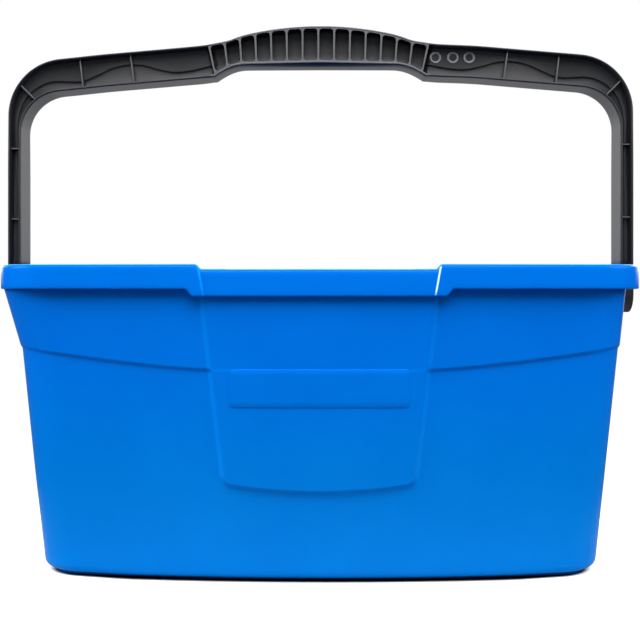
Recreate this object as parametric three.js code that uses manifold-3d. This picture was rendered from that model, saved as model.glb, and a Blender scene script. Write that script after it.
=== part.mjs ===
import * as THREE from 'three';
import { mergeVertices } from 'three/addons/utils/BufferGeometryUtils.js';
import Module from 'manifold-3d';

const wasm = await Module();
wasm.setup();

// Rectangular cleaning bucket with a swing handle
// Millimetres, +Z up, +X along the length, the front towards -Y
// The origin is under the middle of the base

// Tub, its plan at the floor
const baseHalfLength = 219.2;
const baseHalfDepth = 82;
const baseCornerRadius = 30;
const wallBow = 18.5;
const endBow = 1;

// Tub, its heights and walls
const rimHeight = 242;
const draftShare = 0.088;
const endDraftShare = 0.096;
const wallThickness = 3;
const footHeight = 3;
const footWidth = 12;
const footEdgeRadius = 4;
const floorCornerRadius = 12;
const cornerGrowth = 4;

// Upper band of the wall, above a ledge that climbs to the corners
const ledgeStep = 1.8;
const ledgeRise = 1.6;
const ledgeMiddleDrop = 80.3;
const ledgeCornerDrop = 64.5;
const ledgeStart = 86;
const ledgeEndInset = 6.2;
const ledgeCurveShare = 1.3;

// Pour corners at the left end
const spoutFlare = 6.1;

// Rim, a channel that is open below, with a lowered middle at the front and the back
const rimOverhang = 8.5;
const rimRightOverhang = 7;
const rimLeftOverhang = 2.6;
const rimLeftGap = 1;
const rimSkirtDepth = 18;
const rimWall = 2.6;
const rimEdgeRadius = 3;
const rimMiddleDrop = 3.8;
const rimMiddleSkirtDrop = 5.4;
const rimMiddleRecess = 1;
const rimTopStepInner = 87.6;
const rimTopStepOuter = 90.4;
const rimSkirtStepInner = 94.2;
const rimSkirtStepOuter = 99;
const rimRecessStepInner = 86.8;
const rimRecessStepOuter = 88;

// Raised panel in the middle of the front and the back
const panelProud = 3;
const panelTopHalfWidth = 88.7;
const panelBottomHalfWidth = 70.2;
const panelBottomHeight = 72;
const panelBottomSag = 5;
const panelCornerRadius = 9;
const panelSunk = 1.5;

// Plain pad on each panel
const padProud = 0.8;
const padHalfWidth = 67.5;
const padBottomHeight = 134.5;
const padHeight = 29;
const padCornerRadius = 3;

// Pivots of the handle, under the rim at each end
const pivotDrop = 22.6;
const bossRadius = 11;
const bossGap = 0.5;
const bossRootDepth = 16;
const pinRadius = 5;
const pinFit = 0.3;
const pinHeadRadius = 8;
const pinHeadThickness = 2.5;
const pinTipChamfer = 1;
const pinEndGap = 0.3;

// Handle, an I-section frame
const handleRise = 224.8;
const handleClearance = 0.6;
const handleThickness = 32;
const legWidth = 10.8;
const outerCornerRadius = 48;
const outerCornerDrop = 74.2;
const innerCornerRadius = 34.4;
const innerCornerDrop = 13.8;
const armSlopeShare = 0.084;
const gripTopRadius = 280;
const gripTopHalfWidth = 95;
const gripDepth = 33.8;
const gripRampFoot = 88.5;
const gripRampHead = 60;
const gripCrown = 3.6;
const gripCrownFootShare = 0.15;
const crownOverShare = 1.2;
const flangeThickness = 2.2;
const webThickness = 3;
const ribThickness = 1.6;
const hubHeight = 17;

// Ribs of the handle, as places where each one meets the top and the underside of the frame
const gripRibCount = 15;
const gripRibTopInset = 3;
const gripRibBottomInset = 1.5;
const gripRibCrowdShare = 0.035;
const armRibTopShares = [0.767, 0.611];
const armRibBottomShares = [0.756, 0.597];
const cornerRibOuterShare = 0.38;
const cornerRibInnerShare = 0.553;
const legRibShares = [0.817, 0.419];

// Steps on round stretches
const cornerSteps = 7;
const endSteps = 6;
const handleCornerSteps = 9;
const gripArchSteps = 12;
const rampSteps = 5;
const edgeSteps = 3;
const crownSteps = 4;
const roundSteps = 24;
const rimMiddleSteps = 3;
const rimOuterSteps = 4;
const gripLevelSteps = 3;

// Colours of the two plastics
const tubBlue = 0x0a72dc;
const handleBlack = 0x232528;
const pinBlack = 0x1d1f21;

// Points closer than this are one point
const weldDistance = 1e-3;

const rightAngle = Math.PI / 2;

// Places that follow the driving sizes: the handle stands clear of the rim and turns on the tub's bosses
const skirtLevel = rimHeight - rimSkirtDepth;
const ledgeMiddleHeight = rimHeight - ledgeMiddleDrop;
const ledgeCornerHeight = rimHeight - ledgeCornerDrop;
const ledgeEnd = baseHalfLength + endDraftShare * ledgeCornerHeight - ledgeEndInset;
const pivotHeight = rimHeight - pivotDrop;
const rimEndReach = baseHalfLength + endDraftShare * skirtLevel + spoutFlare + ledgeStep + rimLeftOverhang;
const handleReach = rimEndReach + handleClearance;
const handleHalfLength = handleReach + legWidth;
const gripTopHeight = pivotHeight + handleRise;
const outerCornerHeight = gripTopHeight - outerCornerDrop;
const innerCornerHeight = outerCornerHeight - innerCornerDrop;
const gripUndersideHeight = gripTopHeight - gripDepth;

// Solids: closed geometry to a manifold and back

function toSolid(geometry) {
  const bare = geometry.index ? geometry.toNonIndexed() : geometry.clone();
  bare.deleteAttribute('normal');
  bare.deleteAttribute('uv');
  const merged = mergeVertices(bare, weldDistance);
  const vertProperties = new Float32Array(merged.attributes.position.array);
  const triVerts = new Uint32Array(merged.index.array);
  return new wasm.Manifold(new wasm.Mesh({ numProp: 3, vertProperties, triVerts }));
}

function toGeometry(solid) {
  const mesh = solid.getMesh();
  const geometry = new THREE.BufferGeometry();
  geometry.setAttribute('position', new THREE.BufferAttribute(new Float32Array(mesh.vertProperties), 3));
  geometry.setIndex(new THREE.BufferAttribute(new Uint32Array(mesh.triVerts), 1));
  geometry.computeVertexNormals();
  return geometry;
}

// Plan of the tub: stations run once round it, anticlockwise from above

function halfStations(side) {
  const places = [];
  for (let step = 0; step < rimMiddleSteps; step += 1) {
    places.push((rimRecessStepInner * step) / rimMiddleSteps);
  }
  places.push(rimRecessStepInner, rimRecessStepOuter, rimTopStepOuter, rimSkirtStepInner);
  for (let step = 0; step <= rimOuterSteps; step += 1) {
    places.push(THREE.MathUtils.lerp(rimSkirtStepOuter, rimStraightHalf(side), step / rimOuterSteps));
  }
  return places.map((place) => side * place);
}

function frontStations() {
  return [...halfStations(-1).slice(1).reverse(), ...halfStations(1)];
}

function stations() {
  const list = [];
  const front = frontStations();
  for (const x of front) {
    list.push({ part: 'long', x, face: -1 });
  }
  for (let step = 1; step < cornerSteps; step += 1) {
    list.push({ part: 'corner', side: 1, face: -1, angle: rightAngle * (1 - step / cornerSteps) });
  }
  for (let step = 0; step <= endSteps; step += 1) {
    list.push({ part: 'end', side: 1, share: (2 * step) / endSteps - 1 });
  }
  for (let step = 1; step < cornerSteps; step += 1) {
    list.push({ part: 'corner', side: 1, face: 1, angle: rightAngle * (step / cornerSteps) });
  }
  for (const x of [...front].reverse()) {
    list.push({ part: 'long', x, face: 1 });
  }
  for (let step = 1; step < cornerSteps; step += 1) {
    list.push({ part: 'corner', side: -1, face: 1, angle: rightAngle * (1 - step / cornerSteps) });
  }
  for (let step = 0; step <= endSteps; step += 1) {
    list.push({ part: 'end', side: -1, share: 1 - (2 * step) / endSteps });
  }
  for (let step = 1; step < cornerSteps; step += 1) {
    list.push({ part: 'corner', side: -1, face: -1, angle: rightAngle * (step / cornerSteps) });
  }
  return list;
}

function planPoint(station, ring) {
  const side = station.part === 'long' ? Math.sign(station.x) || 1 : station.side;
  const reach = side > 0 ? ring.right : ring.left;
  const radius = side > 0 ? ring.cornerRight : ring.cornerLeft;
  let x = side * reach;
  let y = 0;
  if (station.part === 'long') {
    x = (station.x / rimStraightHalf(side)) * (reach - radius);
    y = station.face * ring.depth;
  }
  if (station.part === 'corner') {
    x = side * (reach - radius + radius * Math.cos(station.angle));
    y = station.face * (ring.depth - radius + radius * Math.sin(station.angle));
  }
  if (station.part === 'end') {
    y = station.share * (ring.depth - radius);
  }
  const bow = side > 0 ? endBow : 0;
  const bowedX = x + side * bow * (Math.abs(x) / reach) * (1 - (y / ring.depth) ** 2);
  const bowedY = y * (1 + (wallBow / ring.depth) * (1 - (x / reach) ** 2));
  return [bowedX, bowedY];
}

// Walls of the tub: the ring at one height, moved outwards by a distance

function wallRing(height, outwards, rightOutwards = outwards, leftOutwards = outwards) {
  const climb = (height - ledgeCornerHeight) / (skirtLevel - ledgeCornerHeight);
  const spout = THREE.MathUtils.clamp(climb, 0, 1);
  const corner = baseCornerRadius + (cornerGrowth * height) / rimHeight;
  const endReach = baseHalfLength + endDraftShare * height;
  return {
    right: endReach + rightOutwards,
    left: endReach + spout * spoutFlare + leftOutwards,
    depth: baseHalfDepth + draftShare * height + outwards,
    cornerRight: corner + outwards,
    cornerLeft: corner + outwards,
  };
}

function ledgeHeight(x) {
  const share = THREE.MathUtils.clamp((Math.abs(x) - ledgeStart) / (ledgeEnd - ledgeStart), 0, 1);
  return THREE.MathUtils.lerp(ledgeMiddleHeight, ledgeCornerHeight, share ** ledgeCurveShare);
}

function lowered(x, inner, outer) {
  return THREE.MathUtils.clamp((outer - Math.abs(x)) / (outer - inner), 0, 1);
}

function rimTop(x) {
  return rimHeight - rimMiddleDrop * lowered(x, rimTopStepInner, rimTopStepOuter);
}

function skirtBottom(x) {
  return skirtLevel - rimMiddleSkirtDrop * lowered(x, rimSkirtStepInner, rimSkirtStepOuter);
}

function rimRecess(x) {
  return rimMiddleRecess * lowered(x, rimRecessStepInner, rimRecessStepOuter);
}

// Rows of the tub, from the middle of its underside round the rim to the middle of its floor
// Each row has a ring, a height at each place along the length, and a recess

function plainRow(height, outwards) {
  return { ring: wallRing(height, outwards), height: () => height };
}

function ledgeRow(above, outwards) {
  const nominal = (ledgeMiddleHeight + ledgeCornerHeight) / 2;
  return { ring: wallRing(nominal, outwards), height: (x) => ledgeHeight(x) + above, drafted: nominal };
}

function rimStraightHalf(side) {
  const { ring } = rimRow(rimOverhang, rimTop, true);
  return side > 0 ? ring.right - ring.cornerRight : ring.left - ring.cornerLeft;
}

function endOutwards(outwards, overhang) {
  return outwards > 0 ? Math.max(outwards - rimOverhang + overhang, rimLeftGap) : outwards;
}

function rimRow(outwards, height, recessed) {
  const right = endOutwards(outwards, rimRightOverhang) + ledgeStep;
  const left = endOutwards(outwards, rimLeftOverhang) + ledgeStep;
  return { ring: wallRing(skirtLevel, outwards + ledgeStep, right, left), height, recessed };
}

function roundedRows(startAngle, place) {
  const rows = [];
  for (let step = 0; step <= edgeSteps; step += 1) {
    const angle = startAngle + (rightAngle * step) / edgeSteps;
    rows.push(place(Math.cos(angle), Math.sin(angle)));
  }
  return rows;
}

function undersideRows() {
  const rounding = roundedRows(-rightAngle, (across, up) => {
    return plainRow(footEdgeRadius * (1 + up), footEdgeRadius * (across - 1));
  });
  return [
    plainRow(footHeight, -footWidth),
    plainRow(0, -footWidth),
    ...rounding,
  ];
}

function outerRows() {
  const underTop = (x) => rimTop(x) - rimWall;
  const topRound = roundedRows(0, (across, up) => {
    const height = (x) => rimTop(x) - rimEdgeRadius * (1 - up);
    return rimRow(rimOverhang - rimEdgeRadius * (1 - across), height, true);
  });
  return [
    ledgeRow(0, 0),
    ledgeRow(ledgeRise, ledgeStep),
    rimRow(0, underTop, false),
    rimRow(rimOverhang - rimWall, underTop, true),
    rimRow(rimOverhang - rimWall, skirtBottom, true),
    rimRow(rimOverhang, skirtBottom, true),
    ...topRound,
  ];
}

function innerRows() {
  const floorHeight = footHeight + wallThickness;
  const rounding = roundedRows(0, (across, up) => {
    const inwards = wallThickness + floorCornerRadius * (1 - across);
    return plainRow(floorHeight + floorCornerRadius * (1 - up), -inwards);
  });
  return [
    rimRow(-wallThickness, rimTop, false),
    ledgeRow(ledgeRise, ledgeStep - wallThickness),
    ledgeRow(0, -wallThickness),
    ...rounding,
  ];
}

function rowPoint(row, station) {
  const [x, y] = planPoint(station, row.ring);
  const height = row.height(x);
  const recess = row.recessed && station.part === 'long' ? rimRecess(x) : 0;
  const drift = row.drafted ? draftShare * (height - row.drafted) : 0;
  const away = station.part === 'long' ? drift - recess : 0;
  return [x, y + Math.sign(y) * away, height];
}

function loftSolid(rows) {
  const around = stations();
  const count = around.length;
  const positions = [];
  for (const row of rows) {
    for (const station of around) {
      positions.push(...rowPoint(row, station));
    }
  }
  const first = rows.length * count;
  positions.push(0, 0, rows[0].height(0));
  positions.push(0, 0, rows[rows.length - 1].height(0));
  const faces = [];
  for (let column = 0; column < count; column += 1) {
    const next = (column + 1) % count;
    faces.push(first, next, column);
    for (let row = 0; row < rows.length - 1; row += 1) {
      const low = row * count;
      const high = low + count;
      faces.push(low + column, low + next, high + next);
      faces.push(low + column, high + next, high + column);
    }
    const last = (rows.length - 1) * count;
    faces.push(first + 1, last + column, last + next);
  }
  const geometry = new THREE.BufferGeometry();
  geometry.setAttribute('position', new THREE.Float32BufferAttribute(positions, 3));
  geometry.setIndex(faces);
  return toSolid(geometry);
}

// Prism over an outline in the XZ plane, reaching through the front and the back

function faceOutlinePrism(shape) {
  const reach = 2 * (baseHalfDepth + wallBow + rimHeight);
  const geometry = new THREE.ExtrudeGeometry(shape, { depth: reach, bevelEnabled: false });
  geometry.translate(0, 0, -reach / 2);
  geometry.rotateX(rightAngle);
  return toSolid(geometry);
}

function panelShape() {
  const top = rimHeight - rimMiddleDrop - rimWall;
  const shape = new THREE.Shape();
  const bottomEdge = panelBottomHeight + panelCornerRadius;
  const bottomInner = panelBottomHalfWidth - panelCornerRadius;
  shape.moveTo(-panelTopHalfWidth, top);
  shape.lineTo(-panelBottomHalfWidth, bottomEdge);
  shape.quadraticCurveTo(-panelBottomHalfWidth, panelBottomHeight, -bottomInner, panelBottomHeight);
  shape.quadraticCurveTo(0, panelBottomHeight - 2 * panelBottomSag, bottomInner, panelBottomHeight);
  shape.quadraticCurveTo(panelBottomHalfWidth, panelBottomHeight, panelBottomHalfWidth, bottomEdge);
  shape.lineTo(panelTopHalfWidth, top);
  shape.closePath();
  return shape;
}

function roundedRectangle(halfWidth, bottom, top, radius) {
  const shape = new THREE.Shape();
  shape.moveTo(-halfWidth + radius, bottom);
  shape.lineTo(halfWidth - radius, bottom);
  shape.absarc(halfWidth - radius, bottom + radius, radius, -rightAngle, 0, false);
  shape.lineTo(halfWidth, top - radius);
  shape.absarc(halfWidth - radius, top - radius, radius, 0, rightAngle, false);
  shape.lineTo(-halfWidth + radius, top);
  shape.absarc(-halfWidth + radius, top - radius, radius, rightAngle, 2 * rightAngle, false);
  shape.lineTo(-halfWidth, bottom + radius);
  shape.absarc(-halfWidth + radius, bottom + radius, radius, 2 * rightAngle, 3 * rightAngle, false);
  return shape;
}

function wallBlock(outwards) {
  const top = rimHeight - rimMiddleDrop - rimWall;
  return loftSolid([plainRow(0, outwards), plainRow(ledgeCornerHeight, outwards), plainRow(top, outwards)]);
}

function raisedPatch(shape, proud) {
  const skin = wallBlock(proud).subtract(wallBlock(-panelSunk));
  return skin.intersect(faceOutlinePrism(shape));
}

// Pivot bosses, and the bores for the pins

function alongX(radius, from, to) {
  const geometry = new THREE.CylinderGeometry(radius, radius, Math.abs(to - from), roundSteps);
  geometry.rotateZ(rightAngle);
  geometry.translate((from + to) / 2, 0, pivotHeight);
  return toSolid(geometry);
}

function bossFace() {
  return handleReach - bossGap;
}

function tubSolid() {
  let tub = loftSolid([...undersideRows(), ...outerRows(), ...innerRows()]);
  tub = tub.add(raisedPatch(panelShape(), panelProud));
  const padTop = padBottomHeight + padHeight;
  const pad = roundedRectangle(padHalfWidth, padBottomHeight, padTop, padCornerRadius);
  tub = tub.add(raisedPatch(pad, panelProud + padProud));
  const face = bossFace();
  const boreRadius = pinRadius + pinFit;
  for (const side of [-1, 1]) {
    tub = tub.add(alongX(bossRadius, side * (face - bossRootDepth), side * face));
    tub = tub.subtract(alongX(boreRadius, side * (face - bossRootDepth), side * (face + bossRootDepth)));
  }
  return tub;
}

// Handle: its outline in the XZ plane, worked out from the right half

function armTop(x) {
  const angle = Math.atan(armSlopeShare);
  const tangentX = handleHalfLength - outerCornerRadius + outerCornerRadius * Math.sin(angle);
  const tangentZ = outerCornerHeight + outerCornerRadius * Math.cos(angle);
  return tangentZ + (tangentX - x) * armSlopeShare;
}

function armUnderside(x) {
  const angle = Math.atan(armSlopeShare);
  const tangentX = handleReach - innerCornerRadius + innerCornerRadius * Math.sin(angle);
  const tangentZ = innerCornerHeight + innerCornerRadius * Math.cos(angle);
  return tangentZ + (tangentX - x) * armSlopeShare;
}

// Underside of the grip: it rises from the arms and levels off

function gripUnderside(x) {
  const share = THREE.MathUtils.clamp((gripRampFoot - Math.abs(x)) / (gripRampFoot - gripRampHead), 0, 1);
  return THREE.MathUtils.lerp(armUnderside(gripRampFoot), gripUndersideHeight, Math.sin(rightAngle * share));
}

function crownAt(x) {
  const share = THREE.MathUtils.clamp(Math.abs(x) / gripRampFoot, 0, 1);
  return gripCrown * THREE.MathUtils.lerp(1, gripCrownFootShare, share);
}

function gripPlaces() {
  const places = [];
  for (let step = 0; step < gripLevelSteps; step += 1) {
    places.push((gripRampHead * step) / gripLevelSteps);
  }
  for (let step = 0; step <= rampSteps; step += 1) {
    places.push(THREE.MathUtils.lerp(gripRampHead, gripRampFoot, step / rampSteps));
  }
  return places;
}

function arcPoints(centreX, centreZ, radius, from, to, steps) {
  const points = [];
  for (let step = 0; step <= steps; step += 1) {
    const angle = THREE.MathUtils.lerp(from, to, step / steps);
    points.push(new THREE.Vector2(centreX + radius * Math.cos(angle), centreZ + radius * Math.sin(angle)));
  }
  return points;
}

function outerHalf(inset) {
  const armAngle = rightAngle - Math.atan(armSlopeShare);
  const corner = arcPoints(
    handleHalfLength - outerCornerRadius,
    outerCornerHeight,
    outerCornerRadius - inset,
    0,
    armAngle,
    handleCornerSteps,
  );
  const gripAngle = Math.asin(gripTopHalfWidth / gripTopRadius);
  const arch = arcPoints(
    0,
    gripTopHeight - gripTopRadius,
    gripTopRadius - inset,
    rightAngle - gripAngle,
    rightAngle,
    gripArchSteps,
  );
  return [...corner, ...arch];
}

function innerHalf(inset) {
  const crowned = inset > 0 ? 1 : 0;
  const armAngle = rightAngle - Math.atan(armSlopeShare);
  const grip = gripPlaces().map((x) => new THREE.Vector2(x, gripUnderside(x) + inset + crowned * crownAt(x)));
  const corner = arcPoints(
    handleReach - innerCornerRadius,
    innerCornerHeight,
    innerCornerRadius + inset,
    armAngle,
    0,
    handleCornerSteps,
  );
  return [...grip, ...corner];
}

function mirrored(points) {
  return [...points].reverse().map((point) => new THREE.Vector2(-point.x, point.y));
}

function frameShape(inset, endHeight) {
  const outer = outerHalf(inset);
  const inner = innerHalf(inset);
  const outerFoot = new THREE.Vector2(handleHalfLength - inset, endHeight);
  const innerFoot = new THREE.Vector2(handleReach + inset, endHeight);
  const right = [outerFoot, ...outer];
  const rightInner = [...inner, innerFoot];
  const points = [...right, ...mirrored(right).slice(1), ...mirrored(rightInner), ...rightInner];
  return new THREE.Shape(points);
}

function handlePrism(shape, from, to) {
  const geometry = new THREE.ExtrudeGeometry(shape, { depth: to - from, bevelEnabled: false });
  geometry.rotateX(rightAngle);
  geometry.translate(0, to, 0);
  return toSolid(geometry);
}

// Side of the handle: straight legs that end in a half circle about the pivot

function sideEnvelope() {
  const half = handleThickness / 2;
  const shape = new THREE.Shape();
  shape.moveTo(half, gripTopHeight + half);
  shape.lineTo(-half, gripTopHeight + half);
  shape.lineTo(-half, pivotHeight);
  shape.absarc(0, pivotHeight, half, 2 * rightAngle, 4 * rightAngle, false);
  shape.closePath();
  const reach = 2 * (handleHalfLength + half);
  const settings = { depth: reach, bevelEnabled: false, curveSegments: roundSteps };
  const geometry = new THREE.ExtrudeGeometry(shape, settings);
  geometry.translate(0, 0, -reach / 2);
  geometry.rotateX(rightAngle);
  geometry.rotateZ(rightAngle);
  return toSolid(geometry);
}

// Ribs: thin plates across the frame, each between a point on the top and one on the underside

function ribPlate(start, end) {
  const along = new THREE.Vector2().subVectors(end, start);
  const across = new THREE.Vector2(-along.y, along.x).normalize().multiplyScalar(ribThickness / 2);
  const points = [
    start.clone().add(across),
    end.clone().add(across),
    end.clone().sub(across),
    start.clone().sub(across),
  ];
  return handlePrism(new THREE.Shape(points), -handleThickness / 2, handleThickness / 2);
}

function gripTop(x) {
  const drop = gripTopRadius - Math.sqrt(gripTopRadius ** 2 - x ** 2);
  return Math.max(armTop(Math.abs(x)), gripTopHeight - drop);
}

// Crown of the grip: its underside is rounded from front to back, most in the middle

function skinSolid(sections) {
  const count = sections[0].length;
  const positions = sections.flat().flatMap((point) => point.toArray());
  const faces = [];
  const last = (sections.length - 1) * count;
  for (let place = 0; place < count; place += 1) {
    const next = (place + 1) % count;
    for (let row = 0; row < last; row += count) {
      faces.push(row + place, row + next, row + count + next);
      faces.push(row + place, row + count + next, row + count + place);
    }
  }
  for (let place = 1; place < count - 1; place += 1) {
    faces.push(0, place + 1, place);
    faces.push(last, last + place, last + place + 1);
  }
  const geometry = new THREE.BufferGeometry();
  geometry.setAttribute('position', new THREE.Float32BufferAttribute(positions, 3));
  geometry.setIndex(faces);
  return toSolid(geometry);
}

function crownCutter() {
  const half = handleThickness / 2;
  const right = gripPlaces();
  const places = [...right.slice(1).reverse().map((x) => -x), ...right];
  const sections = places.map((x) => {
    const low = gripUnderside(x) - gripCrown;
    const section = [new THREE.Vector3(x, 0, low)];
    for (let part = -crownSteps; part <= crownSteps; part += 1) {
      const share = (part / crownSteps) * crownOverShare;
      section.push(new THREE.Vector3(x, half * share, gripUnderside(x) + crownAt(x) * share ** 2));
    }
    section.splice(1, 0, new THREE.Vector3(x, -half * crownOverShare, low));
    section.push(new THREE.Vector3(x, half * crownOverShare, low));
    return section.reverse();
  });
  return skinSolid(sections);
}

function crossPlate(topX, bottomX, topZ, bottomZ) {
  const sink = flangeThickness / 2;
  const start = new THREE.Vector2(bottomX, bottomZ + sink);
  const end = new THREE.Vector2(topX, topZ - sink);
  return ribPlate(start, end);
}

function gripRibs() {
  const ribs = [];
  const last = gripRibCount - 1;
  for (let index = 0; index < gripRibCount; index += 1) {
    const even = (2 * index) / last - 1;
    const crowded = even * (1 + gripRibCrowdShare * (1 - even ** 2));
    const topX = even * (gripTopHalfWidth - gripRibTopInset);
    const bottomX = crowded * (gripRampFoot - gripRibBottomInset);
    const bottomZ = gripUnderside(bottomX) + crownAt(bottomX);
    ribs.push(crossPlate(topX, bottomX, gripTop(topX), bottomZ));
  }
  return ribs;
}

function armRib(side, index) {
  const topX = armRibTopShares[index] * handleHalfLength;
  const bottomX = armRibBottomShares[index] * handleHalfLength;
  return crossPlate(side * topX, side * bottomX, armTop(topX), armUnderside(bottomX));
}

function onArc(side, centreX, centreZ, radius, angleShare) {
  const angle = angleShare * rightAngle;
  return new THREE.Vector2(side * (centreX + radius * Math.cos(angle)), centreZ + radius * Math.sin(angle));
}

function cornerRib(side) {
  const sink = flangeThickness / 2;
  const outerX = handleHalfLength - outerCornerRadius;
  const innerX = handleReach - innerCornerRadius;
  const outer = onArc(side, outerX, outerCornerHeight, outerCornerRadius - sink, cornerRibOuterShare);
  const inner = onArc(side, innerX, innerCornerHeight, innerCornerRadius + sink, cornerRibInnerShare);
  return ribPlate(inner, outer);
}

function legRib(side, share) {
  const sink = flangeThickness / 2;
  const height = THREE.MathUtils.lerp(pivotHeight, outerCornerHeight, share);
  const inner = new THREE.Vector2(side * (handleReach + sink), height);
  const outer = new THREE.Vector2(side * (handleHalfLength - sink), height);
  return ribPlate(inner, outer);
}

function frameRibs() {
  const ribs = [];
  for (const side of [-1, 1]) {
    for (let index = 0; index < armRibTopShares.length; index += 1) {
      ribs.push(armRib(side, index));
    }
    ribs.push(cornerRib(side));
    for (const share of legRibShares) {
      ribs.push(legRib(side, share));
    }
  }
  return ribs;
}

function handleSolid() {
  const half = handleThickness / 2;
  const blank = handlePrism(frameShape(0, pivotHeight - half), -half, half).intersect(sideEnvelope());
  const bar = blank.subtract(crownCutter());
  const pocketShape = frameShape(flangeThickness, pivotHeight + hubHeight);
  const frontPocket = handlePrism(pocketShape, -handleThickness, -webThickness / 2);
  const backPocket = handlePrism(pocketShape, webThickness / 2, handleThickness);
  let handle = bar.subtract(frontPocket).subtract(backPocket);
  for (const rib of [...gripRibs(), ...frameRibs()]) {
    handle = handle.add(rib);
  }
  const boreRadius = pinRadius + pinFit;
  const headRadius = pinHeadRadius + pinFit;
  const headSeat = handleHalfLength - pinHeadThickness - pinFit;
  const past = handleHalfLength + half;
  for (const side of [-1, 1]) {
    handle = handle.subtract(alongX(boreRadius, side * (handleReach - half), side * past));
    handle = handle.subtract(alongX(headRadius, side * headSeat, side * past));
  }
  return handle;
}

// Pivot pins: a flat head in the leg and a plain shank in the boss

function pinGeometry(side) {
  const headFace = handleHalfLength - pinFit;
  const headBack = headFace - pinHeadThickness;
  const tip = bossFace() - bossRootDepth + pinEndGap;
  const profile = [
    new THREE.Vector2(0, 0),
    new THREE.Vector2(pinHeadRadius, 0),
    new THREE.Vector2(pinHeadRadius, headFace - headBack),
    new THREE.Vector2(pinRadius, headFace - headBack),
    new THREE.Vector2(pinRadius, headFace - tip - pinTipChamfer),
    new THREE.Vector2(pinRadius - pinTipChamfer, headFace - tip),
    new THREE.Vector2(0, headFace - tip),
  ];
  const geometry = new THREE.LatheGeometry(profile, roundSteps);
  geometry.rotateZ(side * rightAngle);
  geometry.translate(side * headFace, 0, pivotHeight);
  return geometry;
}

// Materials and the assembly

function plastic(color, roughness) {
  return new THREE.MeshStandardMaterial({ color, roughness, metalness: 0 });
}

const glossyRoughness = 0.22;
const mattRoughness = 0.55;

function named(name, geometry, material) {
  const mesh = new THREE.Mesh(geometry, material);
  mesh.name = name;
  return mesh;
}

const group = new THREE.Group();
group.add(named('bucket_tub', toGeometry(tubSolid()), plastic(tubBlue, glossyRoughness)));
group.add(named('carry_handle', toGeometry(handleSolid()), plastic(handleBlack, mattRoughness)));
group.add(named('pivot_pin_left', pinGeometry(-1), plastic(pinBlack, mattRoughness)));
group.add(named('pivot_pin_right', pinGeometry(1), plastic(pinBlack, mattRoughness)));

export default group;
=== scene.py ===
# %% [markdown]
# A rectangular cleaning bucket with a swing handle. The real one is two injection mouldings: a glossy blue
# tub and a black handle that snaps onto it. The CAD model gives every size and every joint, so this scene
# starts by loading it as a fixed frame, and then dresses it piece by piece.

# %% Load the frame
import math

import bmesh
import bpy
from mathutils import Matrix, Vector


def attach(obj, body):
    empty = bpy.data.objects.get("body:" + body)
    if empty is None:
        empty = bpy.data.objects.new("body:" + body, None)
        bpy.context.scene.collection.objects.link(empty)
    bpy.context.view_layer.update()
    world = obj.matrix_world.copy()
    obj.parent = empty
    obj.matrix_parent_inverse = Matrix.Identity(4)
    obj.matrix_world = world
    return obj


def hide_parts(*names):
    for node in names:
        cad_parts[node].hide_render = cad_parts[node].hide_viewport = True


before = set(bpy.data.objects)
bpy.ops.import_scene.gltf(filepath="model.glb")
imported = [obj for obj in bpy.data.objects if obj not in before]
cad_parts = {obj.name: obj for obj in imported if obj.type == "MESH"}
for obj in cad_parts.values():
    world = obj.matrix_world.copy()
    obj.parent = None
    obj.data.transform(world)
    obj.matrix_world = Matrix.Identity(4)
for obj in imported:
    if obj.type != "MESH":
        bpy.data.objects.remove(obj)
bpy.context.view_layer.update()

# %% [markdown]
# The camera comes first, because every later choice is judged through it. The photograph was taken from
# just under the rim's height, level, and close enough for the front wall to look larger than the back. A
# photographer would raise the lens board to keep the sides upright. In Blender that is the camera's shift.

# %% Camera
MM = 0.001

camera_lens = bpy.data.cameras.new("camera")
camera_lens.sensor_width = 36.0
camera_lens.lens = 62.04
camera_lens.shift_x = 0.0027
camera_lens.shift_y = -0.0538
camera = bpy.data.objects.new("camera", camera_lens)
camera.location = Vector((5.1, -941.0, 226.0)) * MM
camera.rotation_euler = (math.radians(90.0), 0.0, math.radians(0.409))
bpy.context.scene.collection.objects.link(camera)
bpy.context.scene.camera = camera
print("camera", tuple(camera.location))

# %% [markdown]
# Colours are picked as sRGB hex values, as on a paint card, but Blender's shaders work in linear light. One
# function turns the first into the second. A second one adds a node to any tree, sets its properties and
# fills or links its inputs, so that each tree below reads from top to bottom. An input may be a value, an
# output, a whole node, whose first output in use is linked, or a list of those.

# %% Helpers for colours and node trees
SMOOTH = {"interpolation_type": "SMOOTHSTEP"}
COLOUR_MIX, NUMBER_MIX = {"data_type": "RGBA"}, {"data_type": "FLOAT"}
OPERATIONS = ("ADD", "SUBTRACT", "MULTIPLY", "DIVIDE", "MULTIPLY_ADD", "POWER", "MAXIMUM", "ABSOLUTE")
ADD, SUBTRACT, MULTIPLY, DIVIDE, MULTIPLY_ADD, POWER, MAXIMUM, ABSOLUTE = [
    {"operation": word} for word in OPERATIONS]


def linear(hex_colour):
    channels = [int(hex_colour[start:start + 2], 16) / 255.0 for start in (1, 3, 5)]
    curved = [c / 12.92 if c <= 0.04045 else ((c + 0.055) / 1.055) ** 2.4 for c in channels]
    return (*curved, 1.0)


def add_node(tree, kind, settings=None, inputs=None):
    node = tree.nodes.new(kind)
    for name, value in (settings or {}).items():
        setattr(node, name, value)
    for key, value in (inputs or {}).items():
        for source in value if isinstance(value, list) else [value]:
            if isinstance(source, bpy.types.Node):
                source = next(output for output in source.outputs if output.enabled)
            if isinstance(source, bpy.types.NodeSocket):
                tree.links.new(source, node.inputs[key])
            else:
                node.inputs[key].default_value = source
    return node


def new_material(name):
    material = bpy.data.materials.new(name)
    material.use_nodes = True
    material.node_tree.nodes.clear()
    return material, material.node_tree


print("white is", linear("#ffffff"))

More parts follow.
